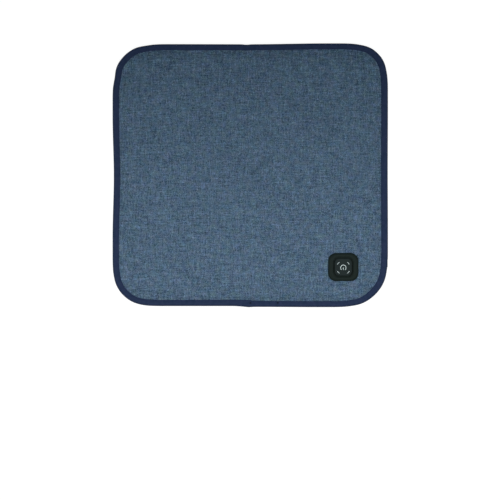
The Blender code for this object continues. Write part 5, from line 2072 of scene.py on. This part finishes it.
    def skin(self, points: np.ndarray, cloth: np.ndarray) -> Object:
        """Skins the sections into a closed tube, with the cloth's places on it.

        Args:
            points: The points, by place along the edge and place in the section.
            cloth: Their places on the flat tape.

        Returns:
            The object.
        """
        here = np.arange(points[..., 0].size).reshape(points.shape[:2])
        beside = np.roll(here, -1, axis=1)
        faces = np.stack([here, beside, np.roll(beside, -1, axis=0), np.roll(here, -1, axis=0)], axis=2)
        faces = faces.reshape(-1, 4).tolist()
        return add_mesh("seam_tape", points.reshape(-1, 3), faces, cloth.reshape(-1, 2), self.smooth_angle)

    def build_stitches(self) -> Object:
        """A row of small stitches on both faces of the tape.

        A stitch's stations are given along its half length, and their level and thickness in its radius.

        Returns:
            The stitches, as one piece.
        """
        radius = self.thread / 2
        half = self.stitch_length / 2
        stations = (
            (-1.0, -1.0, 0.5), (-0.94, -0.4, 0.9), (-0.6, 0.35, 1.0), (0.0, 0.6, 1.0),
            (0.6, 0.35, 1.0), (0.94, -0.4, 0.9), (1.0, -1.0, 0.5),
        )
        end = stations[0][2] * radius
        piece = Workpiece.disc("stitch", (-half, 0, -radius), end, self.stitch_sides, (0, pi / 2, 0))
        for before, after in zip(stations, stations[1:]):
            move = ((after[0] - before[0]) * half, 0, (after[1] - before[1]) * radius)
            bpy.ops.mesh.extrude_region_move(TRANSFORM_OT_translate={"value": move})
            middle = (after[0] * half, 0, after[1] * radius)
            factor = after[2] / before[2]
            bpy.ops.transform.resize(value=(1, factor, factor), center_override=middle)
        template = piece.done(self.thread_smooth_angle)
        base = self.edge()
        inward = inward_ways(base)
        first = self.samples_per_stitch // 2
        places = []
        for number in range(first, len(base), self.samples_per_stitch):
            place, way = base[number], inward[number]
            limb = self.limb(*place)
            inset = limb - self.stitch_inset
            inset += self.waver(place) * inset / limb
            x, y = place + way * inset
            top = self.seat(inset, self.height, inset / limb, -1.0)
            x, y, level = self.pinch(x, y, top, inset)
            turn = Matrix((
                (way[1], way[0], 0, x),
                (-way[0], way[1], 0, y),
                (0, 0, 1, level + self.stitch_lift * radius),
                (0, 0, 0, 1),
            ))
            places.append(turn)
            under = turn @ Matrix.Diagonal((1, -1, -1, 1))
            under.translation.z = self.under_lift * radius
            if not self.is_at_inlet(x, y):
                places.append(under)
        return self.sewn_in(copies("seam_stitches", template, places), "navy_thread")

    def build_dimple_shade_tacks(self) -> Object:
        """Near-black tacks in the front tape's dimples, each of a few stitches side by side; their dark
        thread is painted shade in the dimples.

        Returns:
            The tacks, as one piece.
        """
        marks = self.layers.marks
        inset = marks.dimple_inset
        edge = self.edge()
        edge = edge[edge[:, 1] < 0]
        top = self.seat(inset, self.height, inset / self.front_right_width, -1.0) + self.tack_lift
        radius = self.thread / 2
        places = []
        for x, _ in marks.dimples:
            front = float(edge[np.argmin(abs(edge[:, 0] - x)), 1])
            for number in range(self.tack_stitches):
                beside = x + (number - (self.tack_stitches - 1) / 2) * self.thread * self.tack_pitch
                end_inset = inset + self.tack_length / 2
                places.append(Matrix.Translation(self.pinch(beside, front + inset, top, end_inset)))
        template = Workpiece.rod("tack", (0, 0, 0), radius, self.tack_length, self.tack_sides)
        bpy.ops.mesh.bevel(offset=self.tack_round * radius, segments=2, affect="EDGES")
        bpy.ops.mesh.select_all(action="SELECT")
        bpy.ops.transform.rotate(value=pi / 2, orient_axis="X", center_override=(0, 0, 0))
        # The tacks' near-black thread is painted shade in the dimples
        tacks = copies("seam_tacks", template.done(self.thread_smooth_angle), places)
        return self.sewn_in(tacks, "dimple_shade_thread")

    def is_at_inlet(self, x: float, y: float) -> bool:
        """Whether a place is where the tape is cut away round the inlet."""
        low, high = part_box("inlet_housing")
        return x > low.x - 2 * MM and low.y - MM < y < high.y + MM

    def sewn_in(self, obj: Object, thread: str) -> Object:
        """Lays the cloth's map on a row of thread from above and dresses it.

        Args:
            obj: The row of thread.
            thread: Its finish.

        Returns:
            The same piece.
        """
        layer = obj.data.uv_layers.new(name=CLOTH_MAP)
        for corner in obj.data.loops:
            place = obj.data.vertices[corner.vertex_index].co
            layer.data[corner.index].uv = (place.x, place.y)
        self.wardrobe.dress(obj, thread, "navy_tape")
        return self.layers.across_fold(obj)


def inward_ways(line: np.ndarray) -> np.ndarray:
    """The inward direction at each point of a closed counter-clockwise line."""
    along = np.roll(line, -1, axis=0) - np.roll(line, 1, axis=0)
    return np.stack([-along[:, 1], along[:, 0]], axis=1) / np.linalg.norm(along, axis=1, keepdims=True)


# The inlet and the leads


@dataclass
class Inlet:
    """The power inlet in the seam: a rubber block round a drawn metal socket."""

    wardrobe: Wardrobe
    corner: float = 0.0012
    mouth_margin: float = 0.0003
    socket_corner: float = 0.0008
    socket_wall: float = 0.0003
    edge: float = 0.00006
    corner_steps: int = 6

    def build(self) -> list[Object]:
        """Builds the housing and the socket.

        Returns:
            The new pieces.
        """
        low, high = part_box("inlet_housing")
        socket_low, socket_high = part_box("inlet_socket")
        width, height = socket_high.y - socket_low.y, socket_high.z - socket_low.z
        margin = 2 * self.mouth_margin
        mouth_end = socket_low.x - self.mouth_margin
        mouth = (width + margin, height + margin)
        housing = self.drawn("rubber_housing", low, high, self.corner, *mouth, mouth_end)
        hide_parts("inlet_housing")
        self.wardrobe.dress(housing, "inlet_rubber")
        bore = (width - 2 * self.socket_wall, height - 2 * self.socket_wall)
        back = socket_low.x + self.socket_wall
        socket = self.drawn("socket_shell", socket_low, socket_high, self.socket_corner, *bore, back)
        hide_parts("inlet_socket")
        self.wardrobe.dress(socket, "steel")
        for piece in (housing, socket):
            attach(piece, Body.RIGHT.value)
        return [housing, socket]

    def drawn(
        self, name: str, low: Vector, high: Vector, corner: float, width: float, height: float, back: float
    ) -> Object:
        """A block with rounded long edges and a blind mouth in its right-hand face.

        Args:
            name: The piece's name.
            low: The block's lowest corner.
            high: Its highest corner.
            corner: The radius of its long edges.
            width: The mouth's width.
            height: The mouth's height.
            back: Where the mouth ends.

        Returns:
            The piece.
        """
        piece = Workpiece.block(name, low, high)
        piece.round_edges_along(Axis.X, corner, self.corner_steps)
        piece.pick_facing((1, 0, 0))
        size = high - low
        rings = [Ring(high.x, size.y, size.z), Ring(high.x, width, height), Ring(back, width, height)]
        piece.draw_out(rings, (low + high) / 2, Axis.X)
        return piece.done(edge=self.edge)


@dataclass
class FoldLeads:
    """The two leads that cross the fold, each in one length."""

    wardrobe: Wardrobe
    layers: SoftLayers
    wire: float = 0.0014
    short_bend: float = 0.004
    long_bend: float = 0.012
    bend_steps: int = 8
    run_steps: int = 60

    def build(self) -> list[Object]:
        """Builds both leads."""
        return [self.build_lead(end) for end in ("inner", "outer")]

    def build_lead(self, end: str) -> Object:
        """One lead from the control unit, along its row over the fold, to its crimp.

        Args:
            end: Which lead.

        Returns:
            The lead.
        """
        right_low, right_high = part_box(f"fold_lead_right_{end}")
        left_low, left_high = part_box(f"fold_lead_left_{end}")
        radius = self.wire / 2
        row = left_low.y + radius
        level = (right_low.z + right_high.z) / 2
        near, far = right_high.x - radius, left_low.x + radius
        first_bend = self.bend((near, row), self.short_bend, 0.0, -pi / 2)
        second_bend = self.bend((far, row), self.long_bend, -pi / 2, -pi)
        path = [(near, right_high.y), *first_bend]
        start, stop = first_bend[-1][0], second_bend[0][0]
        path += [(start + (stop - start) * n / self.run_steps, row) for n in range(1, self.run_steps)]
        path += [*second_bend, (far, left_high.y)]
        curve = bpy.data.curves.new(f"fold_lead_{end}", "CURVE")
        curve.dimensions = "3D"
        curve.bevel_depth = radius
        curve.bevel_resolution = 3
        curve.use_fill_caps = True
        spline = curve.splines.new("POLY")
        spline.points.add(len(path) - 1)
        for point, (x, y) in zip(spline.points, path):
            point.co = (x, y, level, 1.0)
        choose(add_object(f"fold_lead_{end}", curve))
        bpy.ops.object.convert(target="MESH")
        lead = bpy.context.active_object
        self.wardrobe.dress(lead, "lead_sheath")
        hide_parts(f"fold_lead_right_{end}", f"fold_lead_left_{end}")
        return self.layers.across_fold(lead)

    def bend(
        self, corner: tuple[float, float], radius: float, start: float, stop: float
    ) -> list[tuple[float, float]]:
        """The points of a quarter bend inside a corner, from one heading's side to the other's.

        Args:
            corner: Where the two runs would meet.
            radius: The bend's radius.
            start: The angle on the bend's circle at which it starts.
            stop: The angle at which it ends.

        Returns:
            The points.
        """
        side = -1 if start == 0.0 else 1
        centre = (corner[0] + side * radius, corner[1] + radius)
        angles = [start + (stop - start) * n / self.bend_steps for n in range(self.bend_steps + 1)]
        return [(centre[0] + radius * cos(angle), centre[1] + radius * sin(angle)) for angle in angles]


# The studio


@dataclass
class Studio:
    """A white floor, a soft lamp and a camera that looks straight down."""

    frame_width: float = 0.8176
    picture_pixels: float = 500.0
    pad_pixel_x: float = 250.25
    pad_pixel_y: float = 175.25
    camera_height: float = 5.0
    sensor: float = 36.0
    seam_level: float = 0.0032
    floor_half: float = 8.0
    floor_cells: int = 8
    floor_glow: float = 0.93
    floor_colour: float = 0.16
    ambient: float = 0.33
    fill_tint: Colour = (0.80, 1.0, 1.08)
    key_energy: float = 4.8
    key_size: tuple[float, float] = (1.7, 0.30)
    key_place: tuple[float, float, float] = (0.03, -0.19, 0.47)

    def build(self) -> None:
        """Sets the view transform and adds floor, world, lamp and camera."""
        bpy.context.scene.view_settings.view_transform = "Standard"
        self.add_floor()
        self.add_world()
        self.add_lamp()
        self.add_camera()

    def backdrop_share(self, tree: Tree) -> NodeSocket:
        """A value of 1 for rays that should see a white backdrop.

        Args:
            tree: The tree in which it is used.

        Returns:
            The value's socket.
        """
        rays = tree.node("ShaderNodeLightPath").outputs
        indirect = tree.math("MAXIMUM", rays["Is Glossy Ray"], rays["Is Transmission Ray"])
        return tree.math("MAXIMUM", rays["Is Camera Ray"], indirect)

    def add_floor(self) -> None:
        """A wide floor that is white to the camera and still takes a soft shadow."""
        cells = self.floor_cells
        bpy.ops.mesh.primitive_grid_add(x_subdivisions=cells, y_subdivisions=cells, size=2 * self.floor_half)
        floor_plane = bpy.context.active_object
        floor_plane.name = "studio_floor"
        tree = Tree("studio_floor")
        tree.nodes.clear()
        strength = tree.math("MULTIPLY", self.backdrop_share(tree), self.floor_glow)
        glow = tree.node("ShaderNodeEmission", {"Strength": strength}).outputs[0]
        lit = tree.node("ShaderNodeBsdfDiffuse", {"Color": opaque([self.floor_colour] * 3)}).outputs[0]
        both = tree.node("ShaderNodeAddShader", {0: glow, 1: lit}).outputs[0]
        tree.node("ShaderNodeOutputMaterial", {"Surface": both})
        floor_plane.data.materials.append(tree.owner)

    def add_world(self) -> None:
        """A plain world: white to the camera, and a soft fill for the pad."""
        world = bpy.data.worlds.new("studio")
        bpy.context.scene.world = world
        tree = Tree("studio", world)
        fill = [self.ambient * part for part in self.fill_tint]
        colour = tree.mix(self.backdrop_share(tree), fill, (1.0, 1.0, 1.0))
        tree.feed(tree.nodes["Background"].inputs["Color"], colour)

    def add_lamp(self) -> None:
        """A soft rectangular lamp that hangs over the pad's front and shines straight down."""
        lamp = bpy.data.lights.new("key", "AREA")
        lamp.shape = "RECTANGLE"
        lamp.size, lamp.size_y = self.key_size
        lamp.energy = self.key_energy
        obj = add_object("key", lamp)
        obj.location = self.key_place
        obj.visible_camera = False

    def add_camera(self) -> None:
        """A long lens straight above the middle of the picture."""
        pixel = self.frame_width / self.picture_pixels
        camera = bpy.data.cameras.new("camera")
        camera.sensor_width = self.sensor
        camera.lens = self.sensor * self.camera_height / self.frame_width
        obj = add_object("camera", camera)
        x = (self.picture_pixels / 2 - self.pad_pixel_x) * pixel
        y = (self.pad_pixel_y - self.picture_pixels / 2) * pixel
        obj.location = (x, y, self.camera_height + self.seam_level)
        bpy.context.scene.camera = obj


def clear_defaults() -> None:
    """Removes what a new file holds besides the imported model."""
    kept = {*frame["nodes"].values(), *(obj for obj in bpy.data.objects if obj.type == "EMPTY")}
    for obj in list(bpy.data.objects):
        if obj not in kept:
            bpy.data.objects.remove(obj, do_unlink=True)


def main() -> None:
    """Builds the cushion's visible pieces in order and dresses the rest."""
    logging.basicConfig(level=logging.INFO, format="%(message)s")
    clear_defaults()
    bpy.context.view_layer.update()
    Studio().build()
    wardrobe = Wardrobe()
    unit = ControlUnit(wardrobe)
    layers = SoftLayers(wardrobe, unit)
    for builder in (layers, TapedEdge(wardrobe, layers), unit, Inlet(wardrobe), FoldLeads(wardrobe, layers)):
        for piece in builder.build():
            LOG.info("built %s with %d faces", piece.name, len(piece.data.polygons))
    wardrobe.dress_carried()


if __name__ == "__main__":
    main()
